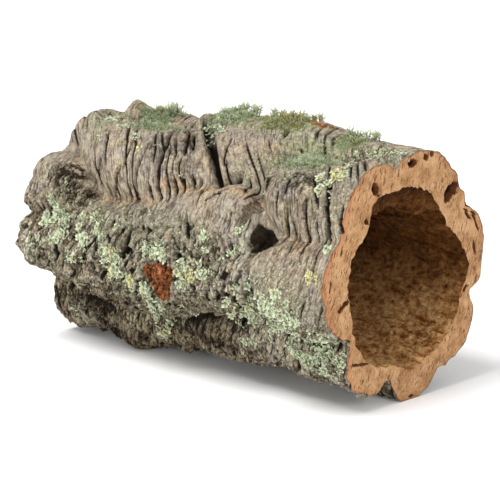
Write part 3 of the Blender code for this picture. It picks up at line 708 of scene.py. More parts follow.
class Field:
    """A value, point or colour that changes over a surface; sums on it add Math nodes to its tree."""

    def __init__(self, socket):
        self.socket = socket
        self.tree = socket.id_data

    def __add__(self, other):
        return maths("ADD", self, other)

    def __sub__(self, other):
        return maths("SUBTRACT", self, other)

    def __rsub__(self, other):
        return maths("SUBTRACT", other, self)

    def __mul__(self, other):
        return maths("MULTIPLY", self, other)

    def __rtruediv__(self, other):
        return maths("DIVIDE", other, self)


def join(socket, value):
    if isinstance(value, Field):
        value.tree.links.new(value.socket, socket)
    else:
        socket.default_value = value


def add_node(tree, kind, inputs, output=0, **settings):
    """A shader node with its settings and inputs; gives one of its outputs."""
    made = tree.nodes.new("ShaderNode" + kind)
    for name, value in settings.items():
        setattr(made, name, value)
    for key, value in inputs.items():
        join(made.inputs[key], value)
    return Field(made.outputs[output])


def maths(operation, first, second=0, clamp=False):
    tree = first.tree if isinstance(first, Field) else second.tree
    return add_node(tree, "Math", {0: first, 1: second}, operation=operation, use_clamp=clamp)


def vectors(operation, first, second):
    return add_node(first.tree, "VectorMath", {0: first, 1: second}, operation=operation)


def axis_of(point, axis):
    return add_node(point.tree, "SeparateXYZ", {0: point}, axis)


def millimetres(tree):
    """The point on the piece, in millimetres."""
    return vectors("MULTIPLY", add_node(tree, "TexCoord", {}, "Object"), (1000, 1000, 1000))


def stretched(point, shift, across):
    """The point with its y and z shrunk, so that a texture runs round the tube in long streaks."""
    return add_node(point.tree, "CombineXYZ", {
        0: axis_of(point, 0) + shift, 1: axis_of(point, 1)*across, 2: axis_of(point, 2)*across})


def mask(tree, name):
    return add_node(tree, "Attribute", {}, "Fac", attribute_name=name)


def spread(value, low, high):
    """A smooth step from 0 at low to 1 at high."""
    return add_node(value.tree, "MapRange", {0: value, 1: low, 2: high},
                    interpolation_type="SMOOTHSTEP")


def cloud(point, size, detail, roughness, distortion=0.0, output=0):
    """Noise whose features are about size units across."""
    return add_node(point.tree, "TexNoise", {
        "Vector": point, "Scale": 1/size, "Detail": detail, "Roughness": roughness,
        "Distortion": distortion}, output)


def cells(point, size, feature, output):
    """Cells about size units across: how far a point is from an edge, or each cell's chance colour."""
    return add_node(point.tree, "TexVoronoi", {"Vector": point, "Scale": 1/size}, output,
                    feature=feature)


def shown(red, green, blue):
    """A colour as it shows, 0 to 255, in the linear values that a shader takes."""
    parts = [c/255 for c in (red, green, blue)]
    return tuple(c/12.92 if c < 0.04 else ((c + 0.055)/1.055)**2.4 for c in parts) + (1,)


def ramp(factor, places, *tones):
    """A colour ramp through tones, as they show, at those places."""
    made = factor.tree.nodes.new("ShaderNodeValToRGB")
    band = made.color_ramp.elements
    while len(band) < len(places):
        band.new(0.5)
    for element, place, tone in zip(band, places, tones):
        element.position = place
        element.color = shown(*tone)
    join(made.inputs[0], factor)
    return Field(made.outputs[0])


def over(under, share, paint, blend="MIX"):
    """A colour with another, or a tone as it shows, laid over it as far as share says."""
    paint = paint if isinstance(paint, Field) else shown(*paint)
    return add_node(under.tree, "Mix", {0: share, 6: under, 7: paint}, 2, data_type="RGBA",
                    blend_type=blend)


def relief(height, depth, **under):
    """A bump of the given depth in metres, over another, named Normal, where there is one."""
    return add_node(height.tree, "Bump", {"Distance": depth, "Height": height, **under})


def cover(shader, colour, normal):
    join(shader.inputs["Base Color"], colour)
    join(shader.inputs["Normal"], normal)


def new_group(name, numbers, results):
    """A shader node group that takes a point and named numbers, and its inner sockets both ways."""
    made = bpy.data.node_groups.new(name, "ShaderNodeTree")
    made.interface.new_socket("Point", in_out="INPUT", socket_type="NodeSocketVector")
    for way, labels in (("INPUT", numbers), ("OUTPUT", results)):
        for label in labels:
            made.interface.new_socket(label, in_out=way, socket_type="NodeSocketFloat")
    given = made.nodes.new("NodeGroupInput").outputs
    return (made, {label: Field(given[label]) for label in ("Point", *numbers)},
            made.nodes.new("NodeGroupOutput").inputs)


def placed(group, inputs):
    """A node group placed in a material with its own values; gives its outputs by name."""
    made = inputs["Point"].tree.nodes.new("ShaderNodeGroup")
    made.node_tree = group
    for label, value in inputs.items():
        join(made.inputs[label], value)
    return {socket.name: Field(socket) for socket in made.outputs}


# Cork grain, on every cork surface: soft mottling, and fine grit over it.
cork_grain, given, result = new_group(
    "cork_grain", ("Mottle Size", "Mottle Detail", "Mottle Roughness", "Grit Size"), ("Mottle", "Grit"))
join(result["Mottle"], cloud(given["Point"], given["Mottle Size"], given["Mottle Detail"],
                             given["Mottle Roughness"]))
join(result["Grit"], cloud(given["Point"], given["Grit Size"], 3, 0.65))

# Outer bark: weathered grey-beige plates with fine growth lines round the tube, with painted shade
# dark in the fissures, rusty where the rolls meet, crumbly and darker with painted shade low down, green
# by the moss, flecked with lichen.
TWO_TONES = (0.35, 0.65)
THREE_TONES = (0.40, 0.50, 0.60)
FOUR_TONES = (0.39, 0.46, 0.53, 0.62)
CRUMB_SIZE = 3.2
bark_finish, tree, shader = new_finish("outer_bark", 0.95, 0.12)
place = millimetres(tree)
shift = mask(tree, "shift")
low = mask(tree, "low")
rough = mask(tree, "rough")
streak = cloud(stretched(place, shift, 0.3), 1.9, 3, 0.6)
ring_line = cloud(stretched(place, shift, 0.13), 1.3, 1, 0.5)
fine_streak = cloud(stretched(place, shift, 0.5), 0.9, 3, 0.65)
speckle = cloud(place, 1.9, 4, 0.7)
grain = placed(cork_grain, {"Point": place, "Mottle Size": 4.4, "Mottle Detail": 6,
                            "Mottle Roughness": 0.75, "Grit Size": 0.9})
mottle = grain["Mottle"]

# Its plain tones, then its stains.
tone = streak*0.3 + mottle*0.5 + fine_streak*0.2
beige = ramp(tone, FOUR_TONES, (112, 97, 80), (150, 134, 114), (174, 160, 140), (200, 188, 168))
grey = ramp(tone, FOUR_TONES, (104, 93, 84), (143, 132, 119), (167, 156, 142), (194, 184, 170))
colour = over(beige, spread(cloud(place, 26, 3, 0.5), 0.42, 0.6), grey)
ochre = ramp(tone, THREE_TONES, (136, 118, 84), (188, 174, 134), (220, 210, 174))
colour = over(colour, spread(cloud(place, 14, 4, 0.6), 0.5, 0.64)*0.4, ochre)
rusty = ramp(tone, THREE_TONES, (134, 92, 58), (190, 146, 104), (218, 186, 144))
colour = over(colour, mask(tree, "warm")*spread(mottle, 0.4, 0.56)*0.6, rusty)
mossy = ramp(tone, THREE_TONES, (92, 98, 62), (150, 158, 116), (190, 197, 158))
colour = over(colour, mask(tree, "green")*spread(cloud(place, 7, 5, 0.7), 0.40, 0.56), mossy)
bald = ramp(mottle, TWO_TONES, (66, 53, 37), (124, 109, 86))
colour = over(colour, spread(mask(tree, "bare"), 0.3, 0.6)*0.9, bald)
blush = ramp(streak, TWO_TONES, (140, 84, 66), (206, 156, 132))
colour = over(colour, mask(tree, "blush")*spread(mottle, 0.44, 0.56), blush)

# Crumbs in the rough places, light flakes, growth lines and pits.
pushed = vectors("MULTIPLY", cloud(place, 3, 2, 0.5, output="Color"), (2.4, 2.4, 2.4))
crumbled = vectors("ADD", stretched(place, shift, 0.5), pushed)
own_tone = cells(crumbled, CRUMB_SIZE, "F1", "Color")*0.8 + (mask(tree, "chip") - 0.35)*0.8
crumb = ramp(own_tone, (0.15, 0.36, 0.58, 0.80),
             (76, 64, 49), (136, 122, 99), (182, 171, 145), (216, 213, 186))
broken = rough*spread(cloud(place, 11, 3, 0.6), 0.4, 0.54)
colour = over(colour, broken*0.8, crumb)
# painted shade in the gaps between crumbs
seam = (1 - spread(cells(crumbled, CRUMB_SIZE, "DISTANCE_TO_EDGE", "Distance"), 0.01, 0.10))*broken
colour = over(colour, seam*0.75, (56, 46, 35))
colour = over(colour, spread(speckle, 0.55, 0.60)*(low*0.45 + 0.25), (210, 200, 174))
dark_line = 1 - spread(ring_line, 0.34, 0.40)
colour = over(colour, dark_line*0.6, (62, 51, 39))
pit = 1 - spread(speckle, 0.39, 0.45)
colour = over(colour, pit*(maths("MAXIMUM", low, rough)*0.45 + 0.35), (48, 40, 31))

# Painted shade low down and in the valleys, the knot's collar, bleached places, and painted shade in its
# hollow.
colour = over(colour, low*0.7, (196, 184, 166), "MULTIPLY")
shaded = mask(tree, "dark")*(spread(mottle, 0.62, 0.42) + 0.25)
colour = over(colour, shaded, (76, 67, 55), "MULTIPLY")
healed = ramp(streak, TWO_TONES, (150, 142, 122), (208, 203, 186))
colour = over(colour, spread(mask(tree, "collar"), 0.3, 0.65)*0.9, healed)
colour = over(colour, mask(tree, "pale")*spread(mottle, 0.42, 0.56)*0.65, (186, 177, 155))
# painted shade in the knot's hollow, fading where the hollow runs out
run_out = spread(axis_of(place, 0), 76, 93)*0.65
hollow_shade = maths("SUBTRACT", spread(mask(tree, "deep"), 0.4, 0.6), run_out, clamp=True)
colour = over(colour, hollow_shade*0.9, (60, 46, 34), "MULTIPLY")

# A crust of lichen, raw cork in the scars, and painted shade in the cracks.
crust = spread(mask(tree, "crust"), 0.02, 0.7)*spread(cloud(place, 2.6, 4, 0.75, 0.5), 0.50, 0.55)
crust_tone = ramp(cloud(place, 1.6, 4, 0.7), (0.38, 0.50, 0.60),
                  (112, 110, 82), (172, 170, 138), (216, 214, 186))
colour = over(colour, crust*0.8, crust_tone)
raw_cork = ramp(cloud(place, 2.2, 6, 0.7), (0.38, 0.50, 0.62),
                (92, 50, 24), (150, 90, 52), (198, 128, 88))
colour = over(colour, spread(mask(tree, "scar") + mottle*0.3, 0.55, 0.68), raw_cork)
colour = over(colour, spread(mask(tree, "crack"), 0.2, 0.7), (36, 28, 21))
coarse = relief(speckle - dark_line - seam, 0.0012)
fine = relief(fine_streak*0.5 + mottle, 0.0012, Normal=coarse)
cover(shader, colour, relief(grain["Grit"] + crust, 0.0006, Normal=fine))

# Sawn cork: tan, with rusty outer bark at its rim, faint yearly rings, and short dark pores that run
# out from the bore.
cut_finish, tree, shader = new_finish("sawn_cork", 0.9, 0.2)
place = millimetres(tree)
rim = mask(tree, "rim")
gap = mask(tree, "gap")
grain = placed(cork_grain, {"Point": place, "Mottle Size": 9, "Mottle Detail": 5,
                            "Mottle Roughness": 0.6, "Grit Size": 0.8})
mottle = grain["Mottle"]
grit = grain["Grit"]
tan = ramp(mottle*0.6 + grit*0.4, THREE_TONES, (156, 113, 75), (180, 138, 97), (198, 158, 116))
wander = rim + (mottle - 0.5)*0.5
front = 1 - spread(axis_of(place, 1), -62, -20)
colour = over(tan, spread(wander, 0.72, 1.0)*(front + 0.15)*0.7, (192, 122, 84))
colour = over(colour, spread(rim + grit*0.06, 0.965, 1.01)*0.8, (128, 100, 78))
yearly = spread(maths("SINE", wander*48), 0.55, 1.0)
colour = over(colour, yearly*spread(cloud(place, 16, 2, 0.5), 0.48, 0.6)*0.3, (116, 72, 42))
upright = add_node(tree, "VectorRotate", {"Vector": place, "Angle": 0.35}, rotation_type="X_AXIS")
pore = spread(cloud(vectors("MULTIPLY", upright, (1, 1, 0.22)), 1.1, 2, 0.6), 0.58, 0.63)
dark_pore = pore*spread(cloud(place, 10, 2, 0.5), 0.36, 0.5)
colour = over(colour, dark_pore*0.8, (98, 56, 28))
# the holes and cracks in the sawn end: brown walls, and painted shade darker in the deeper ones
colour = over(colour, spread(gap, 0.02, 0.12), (110, 66, 36))
colour = over(colour, spread(gap, 0.3, 0.55), (34, 17, 8))
cover(shader, colour, relief(grit - dark_pore, 0.0006))

# The bore: inner bark, dark brown, granular and fibrous, with ridges that wind along the tube. Painted
# light makes it lighter low down, and painted shade darker at the top, under the ledge.
bore_finish, tree, shader = new_finish("inner_bark", 0.95, 0.1)
place = millimetres(tree)
height = axis_of(place, 2)
streak = cloud(vectors("MULTIPLY", place, (0.4, 1, 1)), 5.5, 4, 0.65, 0.8)
mottle = placed(cork_grain, {"Point": place, "Mottle Size": 3.4, "Mottle Detail": 5,
                             "Mottle Roughness": 0.7, "Grit Size": 0.9})["Mottle"]
tone = streak*0.5 + mottle*0.5
plain = ramp(tone, THREE_TONES, (70, 38, 12), (108, 67, 29), (140, 94, 48))
# painted light: the bore lighter low down
painted_light_low = ramp(tone, THREE_TONES, (124, 73, 31), (208, 150, 90), (250, 206, 145))
colour = over(plain, 1 - spread(height, 24, 84), painted_light_low)
# painted shade: the bore darker at the top, under the ledge
colour = over(colour, spread(height, 118, 132)*0.75, (150, 138, 124), "MULTIPLY")
cover(shader, colour, relief(mottle, 0.0035, Normal=relief(streak, 0.005)))

for finish in (bark_finish, cut_finish, bore_finish):
    bark_mesh.materials.append(finish)


# Moss. Mats and tufts of small leafy shoots, with a few longer branched sprigs, on the crest and its
# slope. Each patch is one piece in place of its node: a low mound that hugs the bark, and shoots that
# stand on it, copied from a few shapes and joined.
# Each row: (node, x, theta, half length along, half width round, mound height, longest shoot, shoots,
# sprigs, how olive it is, seed).
MOSSES = (
    ("moss_far_tuft", -88, 84, 20, 14, 1.6, 3.0, 700, 40, 0.25, 1),
    ("moss_far_mat", -58, 106, 24, 13, 0.7, 2.4, 800, 10, 0.15, 2),
    ("moss_crest_far", -17, 82, 21, 16, 1.6, 3.0, 840, 40, 0.2, 3),
    ("moss_crest_near", 30, 82, 26, 17, 2.0, 3.0, 1100, 44, 0.6, 4),
    ("moss_near_tuft", 92, 84, 15, 12, 1.0, 2.6, 480, 24, 0.35, 5),
    ("moss_slope", 84, 109, 24, 18, 1.5, 3.2, 1060, 30, 0.1, 6),
)

bark_tree = BVHTree.FromPolygons([v.co for v in bark_mesh.vertices],
                                 [p.vertices for p in bark_mesh.polygons])
RAY_START = 0.12
END_MARGIN = 3
MOUND_ROOT = -1.2


def on_bark(x, theta):
    """The point of the bark at x and theta, and the way that its surface faces there."""
    angle = math.radians(theta)
    out = Vector((0, math.cos(angle), math.sin(angle)))
    x = min(max(x, END_MARGIN - END_X), END_X - END_MARGIN)
    start = Vector((x, AXIS_Y, AXIS_Z))*MM + out*RAY_START
    place, facing = bark_tree.ray_cast(start, -out)[:2]
    return place, (facing + out).normalized()


def theta_at(theta0, across):
    """The angle that lies so many millimetres round from theta0."""
    return theta0 + np.degrees(across/ROUND_AT)


def finished_shape(form):
    """A small shape's vertices and faces as plain lists, for copying many times."""
    bmesh.ops.recalc_face_normals(form, faces=form.faces)
    form.verts.index_update()
    vertices = [tuple(v.co) for v in form.verts]
    faces = [[v.index for v in face.verts] for face in form.faces]
    form.free()
    return np.array(vertices), faces


def two_layers(form, columns, rows, size):
    """A flat closed sheet; gives each vertex, its place on the sheet, and whether it's on top."""
    bmesh.ops.create_grid(form, x_segments=columns, y_segments=rows, size=size)
    bmesh.ops.extrude_face_region(form, geom=form.faces[:], use_keep_orig=True)
    seen = set()
    for v in form.verts:
        spot = (v.co.x, v.co.y)
        yield v, spot[0], spot[1], spot in seen
        seen.add(spot)


def shoot_shape(leaves, length, rise, flat, bend):
    """A stem one unit tall with narrow closed leaves up it, spiral or in one plane."""
    form = bmesh.new()
    bmesh.ops.create_cone(form, cap_ends=True, segments=3, radius1=0.055, radius2=0.02, depth=1,
                          matrix=Matrix.Translation((0, 0, 0.5)))
    upright = [e for e in form.edges if abs(e.verts[0].co.z - e.verts[1].co.z) > 0.5]
    bmesh.ops.subdivide_edges(form, edges=upright, cuts=1)
    for leaf in range(leaves):
        up = 0.25 + 0.7*leaf/leaves
        turned = math.pi*leaf if flat else 2.4*leaf
        size = length*(1.15 - 0.6*up)
        stand = (Matrix.Translation((0, 0, up)) @ Matrix.Rotation(turned, 4, "Z")
                 @ Matrix.Rotation(rise, 4, "Y") @ Matrix.Translation((0, 0, size/2)))
        bmesh.ops.create_cone(form, cap_ends=True, segments=3, radius1=0.24*size, radius2=0,
                              depth=size, matrix=stand @ Matrix.Diagonal((0.45, 1, 1, 1)))
    for v in form.verts:
        v.co.x += bend*v.co.z**2
    return finished_shape(form)


def add_twig(form, root, way, length, thick):
    """A thin closed twig from root along way; returns its tip."""
    way = Vector(way).normalized()
    stand = Vector((0, 0, 1)).rotation_difference(way).to_matrix().to_4x4()
    bmesh.ops.create_cone(form, cap_ends=True, segments=3, radius1=thick, radius2=0.45*thick,
                          depth=length, matrix=Matrix.Translation(root + way*length/2) @ stand)
    return root + way*length


def bush_shape(seed):
    """A bushy sprig one unit tall: a stem in two parts, and branches that fork once."""
    draw = np.random.default_rng(seed)
    form = bmesh.new()
    crook = add_twig(form, Vector((0, 0, 0)), (draw.uniform(-0.3, 0.3), 0.1, 1), 0.5, 0.07)
    add_twig(form, crook, (draw.uniform(-0.4, 0.4), -0.2, 1), 0.5, 0.06)
    for branch in range(5):
        turned = 2.4*branch
        out = Vector((math.cos(turned), math.sin(turned), 0))
        fork = add_twig(form, crook*(0.5 + 0.3*branch/2), out + Vector((0, 0, 0.9)), 0.36, 0.055)
        add_twig(form, fork, out + Vector((0.6, 0, 0.5)), 0.24, 0.05)
        add_twig(form, fork, out*0.4 + Vector((0, -0.5, 1)), 0.24, 0.05)
    return finished_shape(form)


def ragged_edge(turned, seed):
    """How far out a patch of moss reaches, as a share of its half width, round its middle."""
    return (0.82 + 0.45*noise(1.7*np.cos(turned), 1.7*np.sin(turned), 0.5, seed)
            + 0.22*noise(5*np.cos(turned), 5*np.sin(turned), 0.5, seed + 9))


def mound_shape(x0, theta0, along, around, height, seed):
    """A low closed mound on the bark, with a ragged edge, thin at its edge and lumpy on top."""
    form = bmesh.new()
    for v, s, t, upper in two_layers(form, 26, 18, 1):
        share = max(abs(s), abs(t))
        turned = math.atan2(t, s)
        edge = 0.85*float(ragged_edge(turned, seed))
        u = x0 + share*edge*along*math.cos(turned)
        w = share*edge*around*math.sin(turned)
        place, facing = on_bark(u, theta_at(theta0, w))
        broad, small = float(noise(u/4, w/4, 0.5, seed + 30)), float(noise(u/1.8, w/1.8, 0.5, seed))
        lump = 0.8 + 0.5*broad + 0.3*small
        lift = height*lump*(1 - share**3) if upper else MOUND_ROOT
        v.co = place + facing*lift*MM
    return finished_shape(form)


def add_copies(parts, shape, places, sizes, turns, leans, tips, tints):
    """Adds copies of a shape: each stands at (place, facing), sized, turned, leaned over and tinted."""
    vertices, faces = shape
    for (place, facing), size, turned, lean, tint in zip(places, sizes, turns, leans, tints):
        side = facing.orthogonal().normalized()
        side.rotate(Quaternion(facing, turned))
        stand = facing.copy()
        stand.rotate(Quaternion(side.cross(facing), lean))
        axis_x = side - stand*side.dot(stand)
        axis_x.normalize()
        axis_y = stand.cross(axis_x)
        frame_of = np.array((axis_x*size[0], axis_y*size[1], stand*size[2]))*MM
        parts.append((vertices @ frame_of + np.array(place), faces, tips, tint))


def tip_shares(shape):
    """How near its shape's top each vertex is."""
    up = shape[0][:, 2]
    return 0.15 + 0.85*up/up.max()


def joined_piece(name, parts, finish):
    """One piece from many copies; each vertex keeps how far out it lies and its copy's tint."""
    counts = [len(part[0]) for part in parts]
    first = np.cumsum([0] + counts[:-1]).tolist()
    corners = [[i + offset for i in face] for offset, part in zip(first, parts) for face in part[1]]
    mesh = bpy.data.meshes.new(name)
    mesh.from_pydata(np.concatenate([part[0] for part in parts]).tolist(), [], corners)
    for label, index in (("tip", 2), ("tint", 3)):
        values = np.concatenate([np.broadcast_to(part[index], len(part[0])) for part in parts])
        mesh.attributes.new(label, "FLOAT", "POINT").data.foreach_set("value", values.astype(float))
    mesh.materials.append(finish)
    return new_object(name, mesh)


# Leaf tone, on moss and lichen: paler towards the tips and specked, its hue changing in patches.
leaf_tone, given, result = new_group(
    "leaf_tone", ("Tip", "Speck Size", "Speck Share", "Tint", "Patch Size", "Patch Share"),
    ("Paleness", "Hue", "Speck"))
speck = cloud(given["Point"], given["Speck Size"], 3, 0.6)
patch = cloud(given["Point"], given["Patch Size"], 3, 0.6)
join(result["Paleness"], given["Tip"] + (speck - 0.5)*given["Speck Share"])
join(result["Hue"], given["Tint"] + (patch - 0.5)*given["Patch Share"])
join(result["Speck"], speck)


def leaf_finish(name, roughness, specular, numbers, places, plain, other, change):
    """The finish of moss or lichen: tones from root to tip, plain ones and those of its other tint."""
    made, tree, shader = new_finish(name, roughness, specular)
    tone = placed(leaf_tone, {"Point": millimetres(tree), "Tip": mask(tree, "tip"),
                              "Tint": mask(tree, "tint"), **numbers})
    plain, other = (ramp(tone["Paleness"], places, *tones) for tones in (plain, other))
    cover(shader, over(plain, spread(tone["Hue"], *change), other), relief(tone["Speck"], 0.0004))
    return made


moss_finish = leaf_finish(
    "moss_leaf", 0.9, 0.15,
    {"Speck Size": 0.7, "Speck Share": 0.9, "Patch Size": 7, "Patch Share": 1.6}, (0.0, 0.35, 0.7, 1.0),
    plain=((52, 56, 38), (118, 128, 94), (164, 174, 140), (202, 210, 182)),
    other=((46, 43, 24), (104, 100, 58), (148, 142, 92), (188, 184, 136)), change=(0.25, 0.75))

# The sprigs that stand out, (x, theta, height), by patch.
TALL_SPRIGS = {
    "moss_far_tuft": ((-78, 82, 9), (-76, 80, 7), (-81, 82, 7), (-90, 82, 5), (-98, 84, 5),
                      (-70, 82, 5)),
    "moss_crest_far": ((-26, 79, 5), (-20, 77, 6), (-14, 78, 7), (-8, 77, 6), (-3, 78, 7),
                       (-30, 82, 5)),
    "moss_crest_near": ((10, 78, 6), (16, 76, 5), (26, 77, 5), (36, 77, 6), (46, 77, 4), (52, 78, 5)),
    "moss_near_tuft": ((84, 80, 5), (96, 79, 6), (102, 79, 6), (106, 80, 5), (90, 79, 4)),
}
LEAFY = shoot_shape(9, 0.42, 0.8, False, 0.12)
FEATHERY = shoot_shape(10, 0.36, 0.95, True, 0.35)
BUSHES = (bush_shape(1), bush_shape(2))
for name, x0, theta0, along, around, height, longest, count, sprigs, olive_share, seed in MOSSES:
    draw = np.random.default_rng(400 + seed)
    parts = [(*mound_shape(x0, theta0, along, around, height, seed), 0.3, olive_share)]
    for shape, wanted, low, high in ((LEAFY, count*3//5, 0.4, 0.9), (FEATHERY, count*2//5, 0.5, 1.1),
                                     (BUSHES[0], sprigs, 0.9, 1.9), (BUSHES[1], sprigs, 0.9, 1.9)):
        spot = draw.uniform(0, 2*math.pi, wanted)
        far = draw.uniform(0, 1, wanted)**0.6*1.25
        edge = ragged_edge(spot, seed)
        u = x0 + far*edge*along*np.cos(spot)
        w = far*edge*around*np.sin(spot)
        tall = longest*draw.uniform(low, high, wanted)*(1.1 - 0.4*far**3)
        lift = height*0.8*(1 - np.clip(far, 0, 1)**3)
        places = []
        for a, b, up in zip(u.tolist(), theta_at(theta0, w).tolist(), lift.tolist()):
            place, facing = on_bark(a, b)
            places.append((place + facing*(up - 0.4)*MM, (facing + Vector((0, 0, 0.4))).normalized()))
        wide = tall*draw.uniform(0.7, 1.2, wanted)
        tints = olive_share + draw.normal(0, 0.15, wanted)
        add_copies(parts, shape, places, np.stack([wide, wide, tall], 1).tolist(),
                   draw.uniform(0, 2*math.pi, wanted).tolist(), draw.uniform(0.0, 1.1, wanted).tolist(),
                   tip_shares(shape), tints.tolist())
    for a, b, tall in TALL_SPRIGS.get(name, ()):
        for shape in BUSHES + (FEATHERY,):
            place, facing = on_bark(a + draw.uniform(-1.5, 1.5), b)
            add_copies(parts, shape, [(place, facing)], [(tall*1.1, tall*1.1, tall*1.3)],
                       [draw.uniform(0, 2*math.pi)], [draw.uniform(0, 0.6)], tip_shares(shape),
                       [olive_share])
    moss = joined_piece(name + "_tuft", parts, moss_finish)
    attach(moss, "root")
    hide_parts(name)


# Stray shoots of moss between the cushions, thickest where the bark is green. Each is a short stem with
# a few leaves that stands straight on the bark.
STREWN_REACH = 136
STRAY_TRIES = 12000
TUFT = shoot_shape(5, 0.5, 0.8, False, 0.15)


def strewn(draw, tries, low, high, likely):
    """Spots strewn over the bark, theta from low to high, and kept as likely(x, theta) says."""
    x, theta = draw.uniform(-STREWN_REACH, STREWN_REACH, tries), draw.uniform(low, high, tries)
    kept = draw.uniform(0, 1, tries) < likely(x, theta)
    return list(zip(x[kept].tolist(), theta[kept].tolist()))


def stray_likely(x, theta):
    return (0.5*blotches(x, theta, STAINS["green"])
            * smoothstep(-0.05, 0.45, noise(x/7, theta/6, 0.5, 96)))


draw = np.random.default_rng(450)
places = [on_bark(x, theta) for x, theta in strewn(draw, STRAY_TRIES, 20, 185, stray_likely)]
count = len(places)
tall = draw.uniform(1.0, 2.2, count)
parts = []
add_copies(parts, TUFT, places, np.stack([tall, tall, tall], 1).tolist(),
           draw.uniform(0, 2*math.pi, count).tolist(), draw.uniform(0, 1.2, count).tolist(),
           0.2 + 0.8*TUFT[0][:, 2], (0.15 + draw.normal(0, 0.15, count)).tolist())
strays = joined_piece("moss_strays", parts, moss_finish)
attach(strays, "root")


# Leafy lichen. Pale rosettes of small forked lobes that curl up from the bark, crowded in patches; a
# few are yellowish. Each patch is one piece in place of its node, made of closed lobes in several
# shapes, joined. Each row: (node, yellowish share, seed, clusters (x, theta, radius)).
LICHENS = (
    ("lichen_brow", 0.0, 11, (
        (-109, 164, 4), (-115, 171, 4.5), (-106, 167, 4.5), (-100, 174, 4.5), (-97, 178, 4),
        (-118, 174, 3), (-104, 170, 4.5), (-109, 169, 4), (-111, 159, 2.5), (-102, 180, 3),
        (-96, 168, 2.5))),
    ("lichen_hip_far", 0.15, 12, (
        (-77, 178, 4), (-74, 181, 3.5), (-81, 173, 3.5), (-83, 168, 3), (-72, 167, 2.5), (-62, 169, 3),
        (-66, 172, 3))),
    ("lichen_hip_low", 0.45, 13, (
        (-54, 180, 4), (-47, 183, 4.5), (-42, 186, 4.5), (-39, 190, 4), (-45, 190, 4), (-33, 194, 4),
        (-29, 196, 3), (-52, 186, 3))),
    ("lichen_scar", 0.0, 14, (
        (-14, 176, 4), (-6, 174, 4.5), (0, 175, 4), (-17, 178, 3.5), (-10, 177, 3.5), (3, 177, 2.5))),
    ("lichen_scar_side", 0.3, 15, (
        (17, 183, 3), (20, 190, 3), (22, 186, 3), (18, 179, 2.5), (24, 181, 2.5))),
    ("lichen_scar_foot", 0.1, 16, (
        (-17, 196, 3.5), (-14, 198, 3.5), (-12, 202, 4), (-8, 204, 3.5), (-15, 208, 4), (-19, 204, 3))),
    ("lichen_toe", 0.1, 17, (
        (-37, 227, 4), (-34, 230, 3.5), (-34, 234, 4), (-28, 233, 4), (-24, 229, 3))),
    ("lichen_arch", 0.4, 23, (
        (61, 198, 4), (60, 203, 4.5), (55, 204, 4), (53, 208, 4), (61, 211, 4), (57, 194, 3),
        (67, 203, 3), (70, 207, 3))),
    ("lichen_cheek", 0.1, 18, (
        (103, 184, 4.5), (105, 189, 5), (104, 196, 5), (93, 187, 4), (95, 193, 4.5), (98, 203, 5),
        (92, 210, 4.5), (100, 210, 4.5), (87, 201, 3.5), (113, 188, 4), (114, 195, 4.5), (110, 203, 4),
        (76, 215, 3.5), (83, 213, 3.5), (107, 180, 3), (98, 217, 4))),
    ("lichen_sole", 0.15, 19, (
        (114, 219, 5), (122, 215, 5), (128, 218, 5), (134, 221, 4), (121, 223, 5), (114, 212, 4.5),
        (120, 206, 4), (129, 208, 4), (108, 223, 4), (100, 221, 3.5))),
    ("lichen_crown", 0.55, 20, (
        (121, 124, 4), (121, 128, 3), (117, 130, 3), (113, 126, 3), (126, 121, 3), (120, 119, 4))),
    ("lichen_back_far", 0.1, 21, (
        (-82, 24, 5), (-74, 18, 5), (-66, 26, 5), (-58, 20, 4), (-70, 13, 3))),
    ("lichen_back_near", 0.2, 22, (
        (56, 352, 5), (64, 346, 5), (72, 355, 5), (80, 349, 4), (64, 359, 4))),
)


def lobe_shape(fork, curl, ruffle, seed):
    """A closed lobe one unit long from its root, wider and forked at its tip, and curled up."""
    form = bmesh.new()
    for v, x, y, upper in two_layers(form, 3, 2, 0.5):
        s, t = x + 0.5, 2*y
        width = float(np.interp(s, (0, 0.33, 0.67, 1), (0.20, 0.34, 0.50, 0.32)))
        middle = 1 - abs(t)
        length = s*(0.92 + (0.2 - fork)*middle*s)
        wave = ruffle*math.sin(3.1*t + 5.3*s + seed)
        thick = 0.05 + 0.05*middle*(1 - 0.5*s)
        v.co = (length, t*width, curl*s*s + wave*s + (thick if upper else -thick))
    return finished_shape(form)


lichen_finish = leaf_finish(
    "lichen_leaf", 0.92, 0.12,
    {"Speck Size": 0.8, "Speck Share": 0.8, "Patch Size": 5, "Patch Share": 0.8}, (0.0, 0.3, 0.65, 1.0),
    plain=((70, 72, 52), (128, 135, 104), (174, 181, 150), (210, 216, 190)),
    other=((84, 80, 46), (148, 142, 92), (192, 188, 136), (220, 217, 170)), change=(0.3, 0.8))

LOWEST_LICHEN = 4
LOBES = (lobe_shape(0.35, 0.30, 0.07, 0), lobe_shape(0.0, 0.45, 0.10, 2),
         lobe_shape(0.45, 0.15, 0.06, 4))


def cluster(draw, x0, theta0, radius, crowding, reach, power):
    """Spots, (x, theta), scattered round a middle; a low power keeps them off the middle."""
    count = round(crowding*radius**2)
    spot = draw.uniform(0, 2*math.pi, count)
    far = draw.uniform(0, 1, count)**power*radius*reach
    return zip((x0 + far*np.cos(spot)).tolist(), theta_at(theta0, far*np.sin(spot)).tolist())


